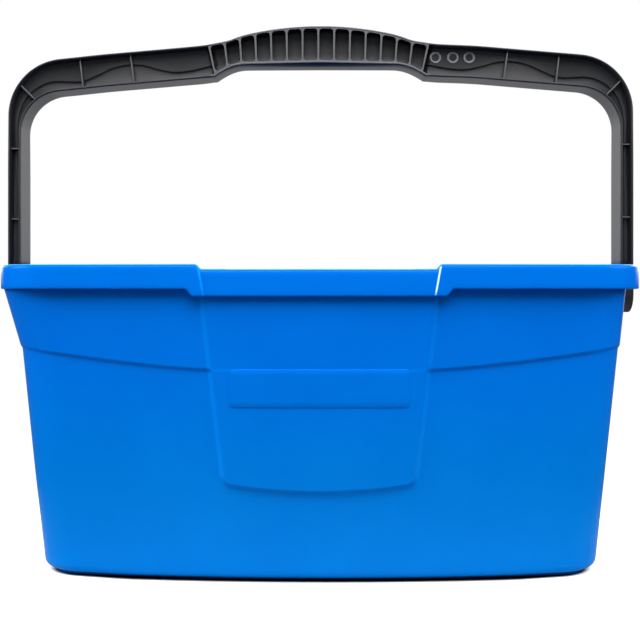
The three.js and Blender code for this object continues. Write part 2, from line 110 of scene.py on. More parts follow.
# %% [markdown]
# The bucket stands on a white board, with only a thin shadow where it meets the ground. A board could
# simply be lit until it is white, but then its light would wash out the blue. So the board is pale paint,
# and rays from the camera see a glow on top of it, which starts just outside the line that the base stands
# on. To find that line, the floor works out how far each point lies outside the base's bowed and rounded
# outline.

# %% Distance from the foot
FOOT_REACH_X, FOOT_REACH_Y, FOOT_BOW, FOOT_CORNER = 0.2192, 0.082, 0.0185, 0.030
END_START, END_STOP, END_TUCK = 0.14, 0.215, 0.007


def away_from_foot(tree, parts):
    """How far a point of the floor lies outside a line 30 mm inside the base's outline."""
    across = add_node(tree, "ShaderNodeMath", ABSOLUTE, {0: parts[0]})
    deep = add_node(tree, "ShaderNodeMath", ABSOLUTE, {0: parts[1]})
    # The base's long sides bow outwards, so the bow is taken off first
    part = add_node(tree, "ShaderNodeMath", MULTIPLY, {0: across, 1: 1 / FOOT_REACH_X})
    part = add_node(tree, "ShaderNodeMath", POWER, {0: part, 1: 2.0})
    bow = add_node(tree, "ShaderNodeMath", MULTIPLY_ADD, {0: part, 1: -FOOT_BOW, 2: FOOT_BOW})
    bow = add_node(tree, "ShaderNodeMath", MAXIMUM, {0: bow, 1: 0.0})
    deep = add_node(tree, "ShaderNodeMath", SUBTRACT, {0: deep, 1: bow})
    beyond = []
    for place, reach in ((deep, FOOT_REACH_Y), (across, FOOT_REACH_X)):
        gap = add_node(tree, "ShaderNodeMath", SUBTRACT, {0: place, 1: reach - FOOT_CORNER})
        beyond.append(add_node(tree, "ShaderNodeMath", MAXIMUM, {0: gap, 1: 0.0}))
    corner = add_node(tree, "ShaderNodeCombineXYZ", None, {0: beyond[0], 1: beyond[1]})
    away = add_node(tree, "ShaderNodeVectorMath", {"operation": "LENGTH"}, {0: corner})
    # Near the ends the edge is rounded more, and the bucket touches the floor farther in
    tuck = add_node(tree, "ShaderNodeMapRange", SMOOTH, {
        "Value": across, "From Min": END_START, "From Max": END_STOP, "To Max": END_TUCK})
    return add_node(tree, "ShaderNodeMath", ADD, {0: away, 1: tuck})


print("foot", 2 * FOOT_REACH_X, "by", 2 * FOOT_REACH_Y, "m, bowed by", FOOT_BOW)

# %% [markdown]
# The board's paint is dark in the narrow gap under the base's rounded edge, a painted contact shadow, pale
# around it and grey far out. Mirrored rays see the glow only where they leave towards the back, because in
# a studio the white cloth hangs behind the object. Without that limit the corners would show a milky stripe.

# %% Floor
GAP_SHADOW_PAINT, NEAR_PAINT, FAR_PAINT = "#0c1018", "#cccccc", "#505050"
PAINT_START, PAINT_STOP = 0.028, 0.034
GLOW_START, GLOW_STOP, GLOW_NEAR, GLOW_MORE = 0.0295, 0.0375, 0.8, 0.25
FAR_START, FAR_STOP = 0.06, 0.30
BACK_START, BACK_STOP = 0.72, 0.97
BEHIND_START, BEHIND_STOP = 0.3, 1.5
FLOOR_REACH = 12.0


def floor_glow(tree, where, parts, away, far):
    near = add_node(tree, "ShaderNodeMapRange", SMOOTH, {
        "Value": away, "From Min": GLOW_START, "From Max": GLOW_STOP, "To Max": GLOW_NEAR})
    more = add_node(tree, "ShaderNodeMath", MULTIPLY_ADD, {0: far, 1: GLOW_MORE, 2: 1.0})
    open_floor = add_node(tree, "ShaderNodeMath", MULTIPLY, {0: near, 1: more})
    distance = add_node(tree, "ShaderNodeVectorMath", {"operation": "LENGTH"}, {0: where})
    back = add_node(tree, "ShaderNodeMath", DIVIDE, {0: parts[1], 1: distance})
    back = add_node(tree, "ShaderNodeMapRange", SMOOTH, {
        "Value": back, "From Min": BACK_START, "From Max": BACK_STOP})
    behind = add_node(tree, "ShaderNodeMapRange", SMOOTH, {
        "Value": parts[1], "From Min": BEHIND_START, "From Max": BEHIND_STOP})
    behind = add_node(tree, "ShaderNodeMath", MULTIPLY, {0: back, 1: behind})
    path = add_node(tree, "ShaderNodeLightPath").outputs
    mirrored = add_node(tree, "ShaderNodeMath", MULTIPLY, {0: path["Is Glossy Ray"], 1: behind})
    seen = add_node(tree, "ShaderNodeMath", MAXIMUM, {0: path["Is Camera Ray"], 1: mirrored})
    seen = add_node(tree, "ShaderNodeMath", MAXIMUM, {0: seen, 1: path["Is Transmission Ray"]})
    return add_node(tree, "ShaderNodeMath", MULTIPLY, {0: seen, 1: open_floor})


def studio_board():
    material, tree = new_material("studio_board")
    where = add_node(tree, "ShaderNodeTexCoord").outputs["Object"]
    parts = add_node(tree, "ShaderNodeSeparateXYZ", None, {0: where}).outputs
    away = away_from_foot(tree, parts)
    far = add_node(tree, "ShaderNodeMapRange", SMOOTH, {
        "Value": away, "From Min": FAR_START, "From Max": FAR_STOP})
    out = add_node(tree, "ShaderNodeMapRange", SMOOTH, {
        "Value": away, "From Min": PAINT_START, "From Max": PAINT_STOP})
    # Painted shadow: the paint turns dark in the gap just under the base's edge
    paint = add_node(tree, "ShaderNodeMix", COLOUR_MIX, {
        "Factor": out, 6: linear(GAP_SHADOW_PAINT), 7: linear(NEAR_PAINT)})
    paint = add_node(tree, "ShaderNodeMix", COLOUR_MIX, {
        "Factor": far, 6: paint, 7: linear(FAR_PAINT)})
    board = add_node(tree, "ShaderNodeBsdfDiffuse", None, {"Color": paint})
    glow = add_node(tree, "ShaderNodeEmission", None, {
        "Color": linear("#ffffff"), "Strength": floor_glow(tree, where, parts, away, far)})
    both = add_node(tree, "ShaderNodeAddShader", None, {0: board, 1: glow})
    add_node(tree, "ShaderNodeOutputMaterial", None, {"Surface": both})
    return material


floor_mesh = bpy.data.meshes.new("floor")
floor_corners = [(x * FLOOR_REACH, y * FLOOR_REACH, 0.0) for x, y in ((-1, -1), (1, -1), (1, 1), (-1, 1))]
floor_mesh.from_pydata(floor_corners, [], [(0, 1, 2, 3)])
floor_mesh.materials.append(studio_board())
floor = bpy.data.objects.new("floor", floor_mesh)
bpy.context.scene.collection.objects.link(floor)
print("floor reaches", FLOOR_REACH, "m each way")

# %% [markdown]
# The world is the studio's air. The camera sees it as plain white. As light it is only a faint fill,
# because the lamps do the work, and mirrored rays again see the white at the back alone.

# %% World
AIR_FILL, MIRROR_FRONT, MIRROR_BACK = 0.08, 0.03, 1.2


def studio_air():
    world = bpy.data.worlds.new("studio_air")
    world.use_nodes = True
    tree = world.node_tree
    tree.nodes.clear()
    path = add_node(tree, "ShaderNodeLightPath").outputs
    direction = add_node(tree, "ShaderNodeTexCoord").outputs["Generated"]
    back = add_node(tree, "ShaderNodeSeparateXYZ", None, {0: direction}).outputs[1]
    mirrored = add_node(tree, "ShaderNodeMapRange", SMOOTH, {
        "Value": back, "From Min": BACK_START, "From Max": BACK_STOP,
        "To Min": MIRROR_FRONT, "To Max": MIRROR_BACK})
    fill = add_node(tree, "ShaderNodeMix", NUMBER_MIX, {
        "Factor": path["Is Glossy Ray"], 2: AIR_FILL, 3: mirrored})
    seen = add_node(tree, "ShaderNodeMath", MAXIMUM, {
        0: path["Is Camera Ray"], 1: path["Is Transmission Ray"]})
    level = add_node(tree, "ShaderNodeMix", NUMBER_MIX, {"Factor": seen, 2: fill, 3: 1.0})
    glow = add_node(tree, "ShaderNodeBackground", None, {"Color": linear("#ffffff"), "Strength": level})
    add_node(tree, "ShaderNodeOutputWorld", None, {"Surface": glow})
    return world


bpy.context.scene.world = studio_air()
bpy.context.scene.view_settings.view_transform = "Standard"
print("world", bpy.context.scene.world.name)

# %% [markdown]
# Soft light comes from six large panels, as in a catalogue studio. A big one above and in front does most
# of the work, one at each side shapes the ends, a weak one in front opens the shadow under the rim, and two
# behind light the handle's edges. A panel's power is spread over its area, so a big panel near the object
# is soft and a small one far away is hard. The side panels and the front one hang high, where upright
# plastic doesn't mirror them towards the camera.


# %% Lamps
def light_panel(name, place, aim, width, height, watts):
    lamp = bpy.data.lights.new(name, "AREA")
    lamp.shape = "RECTANGLE"
    lamp.size = width
    lamp.size_y = height
    lamp.energy = watts
    panel = bpy.data.objects.new(name, lamp)
    panel.location = place
    direction = Vector(aim) - Vector(place)
    panel.rotation_euler = direction.to_track_quat("-Z", "Y").to_euler()
    bpy.context.scene.collection.objects.link(panel)


light_panel("panel_above", (0.0, -1.05, 1.55), (0.0, 0.0, 0.2), 1.6, 1.35, 44.5)
light_panel("panel_left", (-1.6, -0.3, 0.85), (0.0, 0.0, 0.2), 0.9, 0.75, 20.0)
light_panel("panel_right", (1.6, -0.3, 0.85), (0.0, 0.0, 0.2), 0.9, 0.75, 16.5)
light_panel("panel_front", (0.0, -2.2, 0.7), (0.0, 0.0, 0.25), 1.6, 0.5, 3.5)
light_panel("panel_back_left", (-1.2, 1.35, 0.6), (-0.25, 0.0, 0.25), 0.9, 0.7, 8.0)
light_panel("panel_back_right", (1.2, 1.35, 0.6), (0.25, 0.0, 0.25), 0.9, 0.7, 8.0)
print("lamps", len(bpy.data.lights))

# %% [markdown]
# The tub is moulded in polypropylene, coloured through with a blue pigment, in a polished mould. That gives
# the eye a saturated blue with a soft gloss: broad highlights, faint clouding where the melt flowed, and a
# very fine waviness left by shrinkage. The noise scales are one over the real size of each effect in
# metres.

# %% Blue polypropylene
# Flow clouding is about 60 mm across, and shrinkage waves about 25 mm
CLOUD_SIZE, WAVE_SIZE = 0.060, 0.025
# The mould's polish marks are drawn at 1.2 mm, coarser than the real ones, so that they show
MARK_SIZE = 0.0012
# Painted bounce light: low on the wall the blue is painted greener, for light reflected from the white floor,
# and the brim's blue is a little deeper
FOOT_BLUES_PAINTED_BOUNCE, BRIM_BLUES = ("#0070cc", "#0078d2"), ("#006ad8", "#0072e0")
# Painted highlight colours: a paler blue for the rim's round and the panel's slopes, near white for the line
# at the rim's step
HIGHLIGHT_BLUE, HIGHLIGHT_WHITE = "#009aff", "#e8fbff"


def clouded_blue_and_painted_bounce(tree, where):
    clouds = add_node(tree, "ShaderNodeTexNoise", None, {
        "Vector": where, "Scale": 1 / CLOUD_SIZE, "Detail": 2.0})
    height = add_node(tree, "ShaderNodeSeparateXYZ", None, {0: where}).outputs[2]
    # Painted bounce light: with height the blue turns from the foot's greener blues to the brim's deeper ones
    climb = add_node(tree, "ShaderNodeMapRange", SMOOTH, {"Value": height, "From Min": 0.05, "From Max": 0.2})
    foot, brim = [add_node(tree, "ShaderNodeMix", COLOUR_MIX, {
        "Factor": clouds, 6: linear(low), 7: linear(high)}) for low, high in (FOOT_BLUES_PAINTED_BOUNCE, BRIM_BLUES)]
    return add_node(tree, "ShaderNodeMix", COLOUR_MIX, {"Factor": climb, 6: foot, 7: brim})


def moulded_blue():
    material, tree = new_material("moulded_blue_polypropylene")
    where = add_node(tree, "ShaderNodeTexCoord").outputs["Object"]
    blue = clouded_blue_and_painted_bounce(tree, where)
    # Painted highlights: the rim's top round, a line beside the rim's step and the panel's sloping sides are
    # painted paler, up to near white, where light catches them
    pale = add_node(tree, "ShaderNodeAttribute", {"attribute_name": "pale"}).outputs["Fac"]
    soft = add_node(tree, "ShaderNodeMapRange", None, {"Value": pale, "From Max": 0.5})
    hard = add_node(tree, "ShaderNodeMapRange", None, {"Value": pale, "From Min": 0.5})
    blue = add_node(tree, "ShaderNodeMix", COLOUR_MIX, {"Factor": soft, 6: blue, 7: linear(HIGHLIGHT_BLUE)})
    blue = add_node(tree, "ShaderNodeMix", COLOUR_MIX, {"Factor": hard, 6: blue, 7: linear(HIGHLIGHT_WHITE)})
    waves = add_node(tree, "ShaderNodeTexNoise", None, {
        "Vector": where, "Scale": 1 / WAVE_SIZE, "Detail": 1.0})
    wavy = add_node(tree, "ShaderNodeBump", None, {"Strength": 0.10, "Distance": 0.0006, "Height": waves})
    marks = add_node(tree, "ShaderNodeTexNoise", None, {
        "Vector": where, "Scale": 1 / MARK_SIZE, "Detail": 2.0})
    fine = add_node(tree, "ShaderNodeBump", None, {
        "Strength": 0.06, "Distance": 0.0001, "Height": marks, "Normal": wavy})
    polish = add_node(tree, "ShaderNodeMapRange", None, {"Value": marks, "To Min": 0.15, "To Max": 0.21})
    skin = add_node(tree, "ShaderNodeBsdfPrincipled", None, {
        "Base Color": blue, "Roughness": polish, "IOR": 1.49, "Specular IOR Level": 0.03, "Normal": fine})
    add_node(tree, "ShaderNodeOutputMaterial", None, {"Surface": skin})
    return material


tub_blue = moulded_blue()
print("made", tub_blue.name)

# %% [markdown]
# The handle is black polypropylene from a mould whose walls were spark eroded, a process that leaves a fine
# matt grain. Flat faces look near black, and proud front edges carry a painted highlight of paler grey. The
# rings and the pins are the same plastic from a smooth part of the mould, and have no painted edge highlight.

# %% Black polypropylene
# Painted highlight: a paler grey for the handle's proud front edges, where they catch the light
HIGHLIGHT_GREY, HIGHLIGHT_FADE = "#58595d", 0.5


def highlighted_colour(tree, where, hex_colour, rubbed):
    """Painted highlight where an attribute says so, or farther than a distance from the handle's middle
    plane.
    """
    if isinstance(rubbed, str):
        part = add_node(tree, "ShaderNodeAttribute", {"attribute_name": rubbed}).outputs["Fac"]
    else:
        depth = add_node(tree, "ShaderNodeSeparateXYZ", None, {0: where}).outputs[1]
        depth = add_node(tree, "ShaderNodeMath", ABSOLUTE, {0: depth})
        part = add_node(tree, "ShaderNodeMapRange", None, {
            "Value": depth, "From Min": (rubbed - HIGHLIGHT_FADE) * MM, "From Max": rubbed * MM})
    return add_node(tree, "ShaderNodeMix", COLOUR_MIX, {
        "Factor": part, 6: linear(hex_colour), 7: linear(HIGHLIGHT_GREY)})


def moulded_black(name, hex_colour, low_rough, high_rough, grain_size, grain_depth, rubbed=None):
    material, tree = new_material(name)
    where = add_node(tree, "ShaderNodeTexCoord").outputs["Object"]
    colour = highlighted_colour(tree, where, hex_colour, rubbed) if rubbed else linear(hex_colour)
    grain = add_node(tree, "ShaderNodeTexNoise", None, {
        "Vector": where, "Scale": 1 / grain_size, "Detail": 3.0})
    relief = add_node(tree, "ShaderNodeBump", None, {
        "Strength": 0.35, "Distance": grain_depth, "Height": grain})
    matt = add_node(tree, "ShaderNodeMapRange", None, {
        "Value": grain, "To Min": low_rough, "To Max": high_rough})
    skin = add_node(tree, "ShaderNodeBsdfPrincipled", None, {
        "Base Color": colour, "Roughness": matt, "IOR": 1.49, "Specular IOR Level": 0.4, "Normal": relief})
    add_node(tree, "ShaderNodeOutputMaterial", None, {"Surface": skin})
    return material


# Lowest and highest roughness, grain size and grain depth. The real grain is about 0.1 mm, drawn coarser
GRAINED = (0.36, 0.48, 0.0008, 0.0001)
# The grip's edges, the pocket plate's ribs and the frame's ribs get the painted edge highlight
handle_black = moulded_black("spark_grained_black_polypropylene", "#232428", *GRAINED, rubbed="rubbed")
grip_black = moulded_black("grip_black_polypropylene_painted_highlight", "#26272b", *GRAINED, rubbed=14.0)
rib_black = moulded_black("rib_black_polypropylene_painted_highlight", "#26272b", *GRAINED, rubbed=11.0)
ring_grey = moulded_black("polished_ring_black_polypropylene", "#77787c", 0.30, 0.38, 0.0008, 0.00003)
pin_black = moulded_black("smooth_black_polypropylene", "#1d1f21", 0.30, 0.38, 0.0012, 0.00003)
print("made", [black.name for black in (handle_black, grip_black, rib_black, ring_grey, pin_black)])

# %% [markdown]
# The tub's shape follows a rule at every height: a rounded rectangle in plan whose long sides bow outwards,
# growing a little with height so that it leaves the mould. A ring is that plan at one height, moved
# outwards by a distance. The driving sizes repeat the CAD model's, in millimetres. The left end flares a
# little more towards the rim, for pouring.

# %% Plan of the tub
BASE_HALF_LENGTH, BASE_HALF_DEPTH = 219.2, 82.0
BASE_CORNER, CORNER_GROWTH, SMALLEST_CORNER = 30.0, 4.0, 2.0
WALL_BOW, END_BOW = 18.5, 1.0
SIDE_DRAFT, END_DRAFT, LEFT_DRAFT = 0.088, 0.087, 0.083
RIM_HEIGHT, SKIRT_DEPTH = 242.0, 18.0
SKIRT_LEVEL = RIM_HEIGHT - SKIRT_DEPTH
LEDGE_STEP, LEDGE_MIDDLE, LEDGE_CORNER = 1.8, 161.7, 177.5
LEDGE_START, LEDGE_END = 86.0, 230.0
LEDGE_SHARE_LEFT, LEDGE_SHARE_RIGHT = 0.45, 0.64
SPOUT_FLARE, LEFT_SWELL, RIGHT_SWELL, SWELL_TOP, SWELL_FOOT_SHARE = 9.0, 1.5, 0.4, 90.0, 0.4


def share(value, low, high):
    return min(max((value - low) / (high - low), 0.0), 1.0)


def lerp(start, end, part):
    return start + (end - start) * part


def eased(value, low, high):
    part = share(value, low, high)
    return part * part * (3.0 - 2.0 * part)


def wall_ring(level, out, right=None, left=None):
    climb = share(level, LEDGE_CORNER, SKIRT_LEVEL)
    left_end = BASE_HALF_LENGTH + LEFT_DRAFT * level + climb * SPOUT_FLARE
    left_end += lerp(SWELL_FOOT_SHARE, 1.0, eased(level, 0.0, SWELL_TOP)) * LEFT_SWELL
    right_end = BASE_HALF_LENGTH + END_DRAFT * level + RIGHT_SWELL
    if right is None:
        right = out * LEDGE_SHARE_RIGHT if out > 0 else out
    if left is None:
        left = out * LEDGE_SHARE_LEFT if out > 0 else out
    return {
        "right": right_end + right,
        "left": left_end + left,
        "depth": BASE_HALF_DEPTH + SIDE_DRAFT * level + out,
        "corner": max(BASE_CORNER + CORNER_GROWTH * level / RIM_HEIGHT + out, SMALLEST_CORNER),
    }


print("plan at the floor", wall_ring(0.0, 0.0))

# %% [markdown]
# A grid of columns and rows covers the tub. Columns run closest together beside the raised panel, and they
# lean with its side edges, so that the panel's step and the notch in the rim both fall between columns
# instead of across them. This is why the grid needs no more faces than it does.

# %% Columns of the grid
PANEL_EDGE_FOOT, PANEL_EDGE_SLOPE, PANEL_FOOT_LEVEL = 74.9, 0.106, 81.0
BAND_IN, BAND_OUT = 8.0, 14.0
MIDDLE_STEPS, BAND_STEPS, OUTER_STEPS, CORNER_STEPS, END_STEPS = 12, 44, 14, 14, 12


def panel_edge(level):
    return PANEL_EDGE_FOOT + (level - PANEL_FOOT_LEVEL) * PANEL_EDGE_SLOPE


def half_columns(side):
    columns = [("middle", side, step / MIDDLE_STEPS) for step in range(MIDDLE_STEPS)]
    columns += [("band", side, lerp(-BAND_IN, BAND_OUT, step / BAND_STEPS)) for step in range(BAND_STEPS + 1)]
    columns += [("outer", side, step / OUTER_STEPS) for step in range(1, OUTER_STEPS + 1)]
    return columns


def tub_columns():
    long_side = half_columns(-1)[:0:-1] + half_columns(1)
    rising = [math.pi / 2 * step / CORNER_STEPS for step in range(1, CORNER_STEPS)]
    falling = [math.pi / 2 * (1 - step / CORNER_STEPS) for step in range(1, CORNER_STEPS)]
    ends = [2 * step / END_STEPS - 1 for step in range(END_STEPS + 1)]
    columns = []
    for side, line in ((1, long_side), (-1, long_side[::-1])):
        columns += [("long", -side, column) for column in line]
        columns += [("corner", side, -side, turn) for turn in falling]
        columns += [("end", side, side * place) for place in ends]
        columns += [("corner", side, side, turn) for turn in rising]
    return columns


def long_place(column, level, ring):
    kind, side, value = column
    edge = panel_edge(level)
    if kind == "middle":
        return side * value * (edge - BAND_IN)
    if kind == "band":
        return side * (edge + value)
    straight = ring["right" if side > 0 else "left"] - ring["corner"]
    return side * lerp(edge + BAND_OUT, straight, value)


columns = tub_columns()
print("columns", len(columns))

# %% [markdown]
# Each row of the grid is a height, which may vary along the wall, and a distance outwards. The ledge climbs
# to the corners, the rim is lower in the middle, and the panel stands proud of the wall. Every step has a
# small rounded edge, because a moulding tool can't cut a perfectly sharp one and light catches the round.

# %% Steps of the wall
RIM_OVERHANG, RIM_RIGHT, RIM_LEFT, RIM_LEFT_GAP = 8.5, 9.2, 1.1, 0.2
RIM_WALL, RIM_EDGE, RIM_DROP, SKIRT_DROP, SKIRT_LIP = 2.6, 3.0, 3.8, 5.4, 0.7
NOTCH_START, NOTCH_STOP, NOTCH_SHIFT = 86.9, 91.7, 0.6
SKIRT_RISE_START, SKIRT_RISE_STOP = 93.4, 99.6
RECESS_EDGE_FOOT, RECESS_EDGE_SLOPE, RECESS_FOOT_LEVEL = 85.8, 0.185, 219.0
RIM_RECESS, RECESS_SOFT = 1.2, 0.7
PANEL_PROUD, PANEL_SLOPE, PANEL_SOFT = 3.0, 4.0, 0.5
PANEL_BOTTOM, PANEL_SAG, PANEL_CORNER = 72.0, 5.0, 9.0
LEDGE_CURVE = 1.3


def ledge_level(x):
    return lerp(LEDGE_MIDDLE, LEDGE_CORNER, share(abs(x), LEDGE_START, LEDGE_END) ** LEDGE_CURVE)


def rim_top(x):
    return RIM_HEIGHT - RIM_DROP * (1 - eased(abs(x + NOTCH_SHIFT), NOTCH_START, NOTCH_STOP))


def skirt_bottom(x):
    return SKIRT_LEVEL - SKIRT_LIP - SKIRT_DROP * (1 - eased(abs(x), SKIRT_RISE_START, SKIRT_RISE_STOP))


def recess_edge(level):
    """Where the rim's middle part, which stands a little farther in, meets its ends."""
    return RECESS_EDGE_FOOT + RECESS_EDGE_SLOPE * (level - RECESS_FOOT_LEVEL)


def panel_foot(x):
    return PANEL_BOTTOM - PANEL_SAG * max(0.0, 1 - (x / (PANEL_EDGE_FOOT - PANEL_CORNER)) ** 2)


def panel_share(x, level):
    """How much of the panel's height a place has: none on the wall, all on the panel, part on its slope."""
    beside = panel_edge(level) - abs(x)
    above_foot = level - panel_foot(x)
    inside = min(beside, above_foot)
    if beside < PANEL_CORNER and above_foot < PANEL_CORNER:
        inside = PANEL_CORNER - math.hypot(PANEL_CORNER - beside, PANEL_CORNER - above_foot)
    if inside <= -PANEL_SOFT:
        return 0.0
    if inside >= PANEL_SLOPE + PANEL_SOFT:
        return 1.0
    if inside < PANEL_SOFT:
        return (inside + PANEL_SOFT) ** 2 / (4 * PANEL_SOFT * PANEL_SLOPE)
    if inside > PANEL_SLOPE - PANEL_SOFT:
        return 1 - (PANEL_SLOPE + PANEL_SOFT - inside) ** 2 / (4 * PANEL_SOFT * PANEL_SLOPE)
    return inside / PANEL_SLOPE


print("ledge", ledge_level(0), "to", ledge_level(220), "rim", rim_top(0), "to", rim_top(150))

# %% [markdown]
# The rows run from the middle of the underside, up the outside, over the rim and down the inside to the
# middle of the floor. A rounded edge is a quarter turn in a few steps. Rows beside the ledge and the
# panel's foot follow those curves, and the rows between them share out the rest of the wall.

# %% Rows below the rim
WALL, FOOT_HEIGHT, FOOT_IN, FOOT_WIDTH, FOOT_EDGE = 3.0, 3.0, 8.0, 8.0, 6.0
MIDDLE_IN, FOOT_EDGE_STEPS = 40.0, 8
LOW_LEVELS = (12.0, 20.0, 30.0, 42.0, 52.0)
FOOT_OFFSETS = [-8, -5, -3, -2] + [-1.5 + 0.5 * step for step in range(15)] + [6.5, 8, 9.5, 11, 13]
LEDGE_OFFSETS = (-5, -2, -0.8, -0.4, -0.1, 0.2, 0.5, 0.8, 1.1, 1.4, 1.7, 2.0, 2.4, 3.5, 6)
LEDGE_FROM, LEDGE_TO, BETWEEN_STEPS = -0.8, 2.4, 7


def round_steps(steps, angle=math.pi / 2):
    """How far a rounded edge has gone each way at every step of its turn, as shares of its radius."""
    turns = [angle * step / steps for step in range(steps + 1)]
    return [(1 - math.cos(turn), 1 - math.sin(turn)) for turn in turns]


def always(value):
    return lambda place: value


def above(curve, offset):
    return lambda x: curve(x) + offset


def spread(low, high, steps):
    """Curves that share out the height between two curves, with those two first and last."""
    return [lambda x, part=step / steps: lerp(low(x), high(x), part) for step in range(steps + 1)]


def underside_rows():
    inner, outer = -FOOT_IN - FOOT_WIDTH, -FOOT_IN
    places = [(FOOT_HEIGHT, -MIDDLE_IN), (FOOT_HEIGHT, inner - 0.8), (FOOT_HEIGHT - 0.2, inner - 0.2)]
    places += [(FOOT_HEIGHT - 0.8, inner), (0.6, inner), (0.1, inner + 0.2), (0.0, inner + 0.8)]
    places += [(0.0, outer - 0.8), (0.1, outer - 0.2), (0.6, outer)]
    places += [(FOOT_HEIGHT - 0.4, outer), (FOOT_HEIGHT, outer + 0.4)]
    rows = [{"level": always(level), "out": out} for level, out in places]
    for up, left in round_steps(FOOT_EDGE_STEPS):
        rows.append({"level": always(FOOT_HEIGHT + FOOT_EDGE * up), "out": -FOOT_EDGE * left, "foot": True})
    return rows


def outer_wall_rows():
    over_foot, under_ledge = above(panel_foot, FOOT_OFFSETS[-1]), above(ledge_level, LEDGE_OFFSETS[0])
    over_ledge, skirt = above(ledge_level, LEDGE_OFFSETS[-1]), always(SKIRT_LEVEL)
    places = [(above(panel_foot, offset), 0.0) for offset in FOOT_OFFSETS]
    places += [(curve, 0.0) for curve in spread(over_foot, under_ledge, BETWEEN_STEPS)[1:-1]]
    for offset in LEDGE_OFFSETS:
        places.append((above(ledge_level, offset), LEDGE_STEP * eased(offset, LEDGE_FROM, LEDGE_TO)))
    places += [(curve, LEDGE_STEP) for curve in spread(over_ledge, skirt, BETWEEN_STEPS)[1:]]
    rows = [{"level": always(level), "out": 0.0} for level in LOW_LEVELS]
    return rows + [{"level": level, "out": out, "panel": True} for level, out in places]


print("rows below the rim", len(underside_rows()) + len(outer_wall_rows()))

# %% [markdown]
# The rim is rolled outwards like an upside-down gutter, which stiffens it and is kind to the hand. Its rows
# go up the wall into the gutter, round the skirt's lip, up its face, over the rounded top and to the mouth.
# At the two ends it reaches out by other amounts than along the sides.

# %% Rows of the rim and the inside
LIP_STEPS, FACE_STEPS, EDGE_STEPS, MOUTH_STEPS = 6, 5, 6, 4
MOUTH_ROUND, FLOOR_CORNER, FLOOR_CORNER_STEPS = 1.2, 12.0, 7
INNER_LEDGE_OFFSETS = (2.4, 1.7, 1.1, 0.5, -0.1, -0.8, -3)
INNER_LEDGE_FROM, INNER_LEDGE_TO, INNER_LEDGE_OVER = -0.3, 1.9, 4
INNER_FOOT, INNER_STEPS = 20.0, 9


def rim_row(out, level):
    def at_end(overhang):
        return max(out - RIM_OVERHANG + overhang, RIM_LEFT_GAP) if out > 0 else out
    return {"level": level, "out": out + LEDGE_STEP, "right": at_end(RIM_RIGHT) + LEDGE_STEP,
            "left": at_end(RIM_LEFT) + LEDGE_STEP, "ring_level": SKIRT_LEVEL, "rim": out > 0}


def rim_rows():
    inner_face, lip = RIM_OVERHANG - RIM_WALL, RIM_WALL / 2
    gutter = above(rim_top, -RIM_WALL)
    rows = [rim_row(0.0, above(gutter, -1.0)), rim_row(0.3, gutter)]
    rows += [rim_row(inner_face - 0.6, gutter), rim_row(inner_face, above(gutter, -0.8))]
    for along, up in round_steps(LIP_STEPS, math.pi):
        rows.append(rim_row(inner_face + lip * along, above(skirt_bottom, lip * up)))
    face = spread(above(skirt_bottom, lip), above(rim_top, -RIM_EDGE), FACE_STEPS)
    rows += [rim_row(RIM_OVERHANG, curve) for curve in face[1:-1]]
    for along, up in round_steps(EDGE_STEPS):
        rows.append(rim_row(RIM_OVERHANG - RIM_EDGE * along, above(rim_top, -RIM_EDGE * up)))
    rows.append(rim_row(0.6, rim_top))
    for down, left in round_steps(MOUTH_STEPS):
        rows.append(rim_row(-WALL + MOUTH_ROUND * left, above(rim_top, -MOUTH_ROUND * down)))
    return rows


def inner_rows():
    over_ledge = above(ledge_level, INNER_LEDGE_OVER)
    under_ledge = above(ledge_level, INNER_LEDGE_OFFSETS[-1])
    skirt, foot = always(SKIRT_LEVEL), always(INNER_FOOT)
    places = [(curve, LEDGE_STEP - WALL) for curve in spread(skirt, over_ledge, BETWEEN_STEPS)]
    for offset in INNER_LEDGE_OFFSETS:
        out = LEDGE_STEP * eased(offset, INNER_LEDGE_FROM, INNER_LEDGE_TO) - WALL
        places.append((above(ledge_level, offset), out))
    places += [(curve, -WALL) for curve in spread(under_ledge, foot, INNER_STEPS)[1:-1]]
    floor_level = FOOT_HEIGHT + WALL
    for along, up in round_steps(FLOOR_CORNER_STEPS):
        places.append((always(floor_level + FLOOR_CORNER * up), -WALL - FLOOR_CORNER * along))
    places.append((always(floor_level), -MIDDLE_IN))
    return [{"level": level, "out": out} for level, out in places]


tub_rows = underside_rows() + outer_wall_rows() + rim_rows() + inner_rows()
print("rows", len(tub_rows))

# %% [markdown]
# Now each crossing of a row and a column takes its place. A row's height depends on the place along the
# wall and the place depends on the height, so both are worked out in turn until they settle. At the end the
# point is moved out by the bow of its wall, and by the panel or the recess if it lies on one.

# %% Points of the tub
SETTLE_TRIES = 3
FOOT_FADE_START, FOOT_FADE_STOP, FOOT_FADE_SHARE = 140.0, 215.0, 0.3


def plan_place(column, level, ring):
    """Where a column crosses a ring: along, across, and the long face it lies on, if any."""
    kind, side = column[:2]
    if kind == "long":
        return long_place(column[2], level, ring), side * ring["depth"], side
    reach_x, corner = ring["right" if side > 0 else "left"], ring["corner"]
    if kind == "end":
        return side * reach_x, column[2] * (ring["depth"] - corner), 0
    x = side * (reach_x - corner + corner * math.cos(column[3]))
    return x, column[2] * (ring["depth"] - corner + corner * math.sin(column[3])), 0


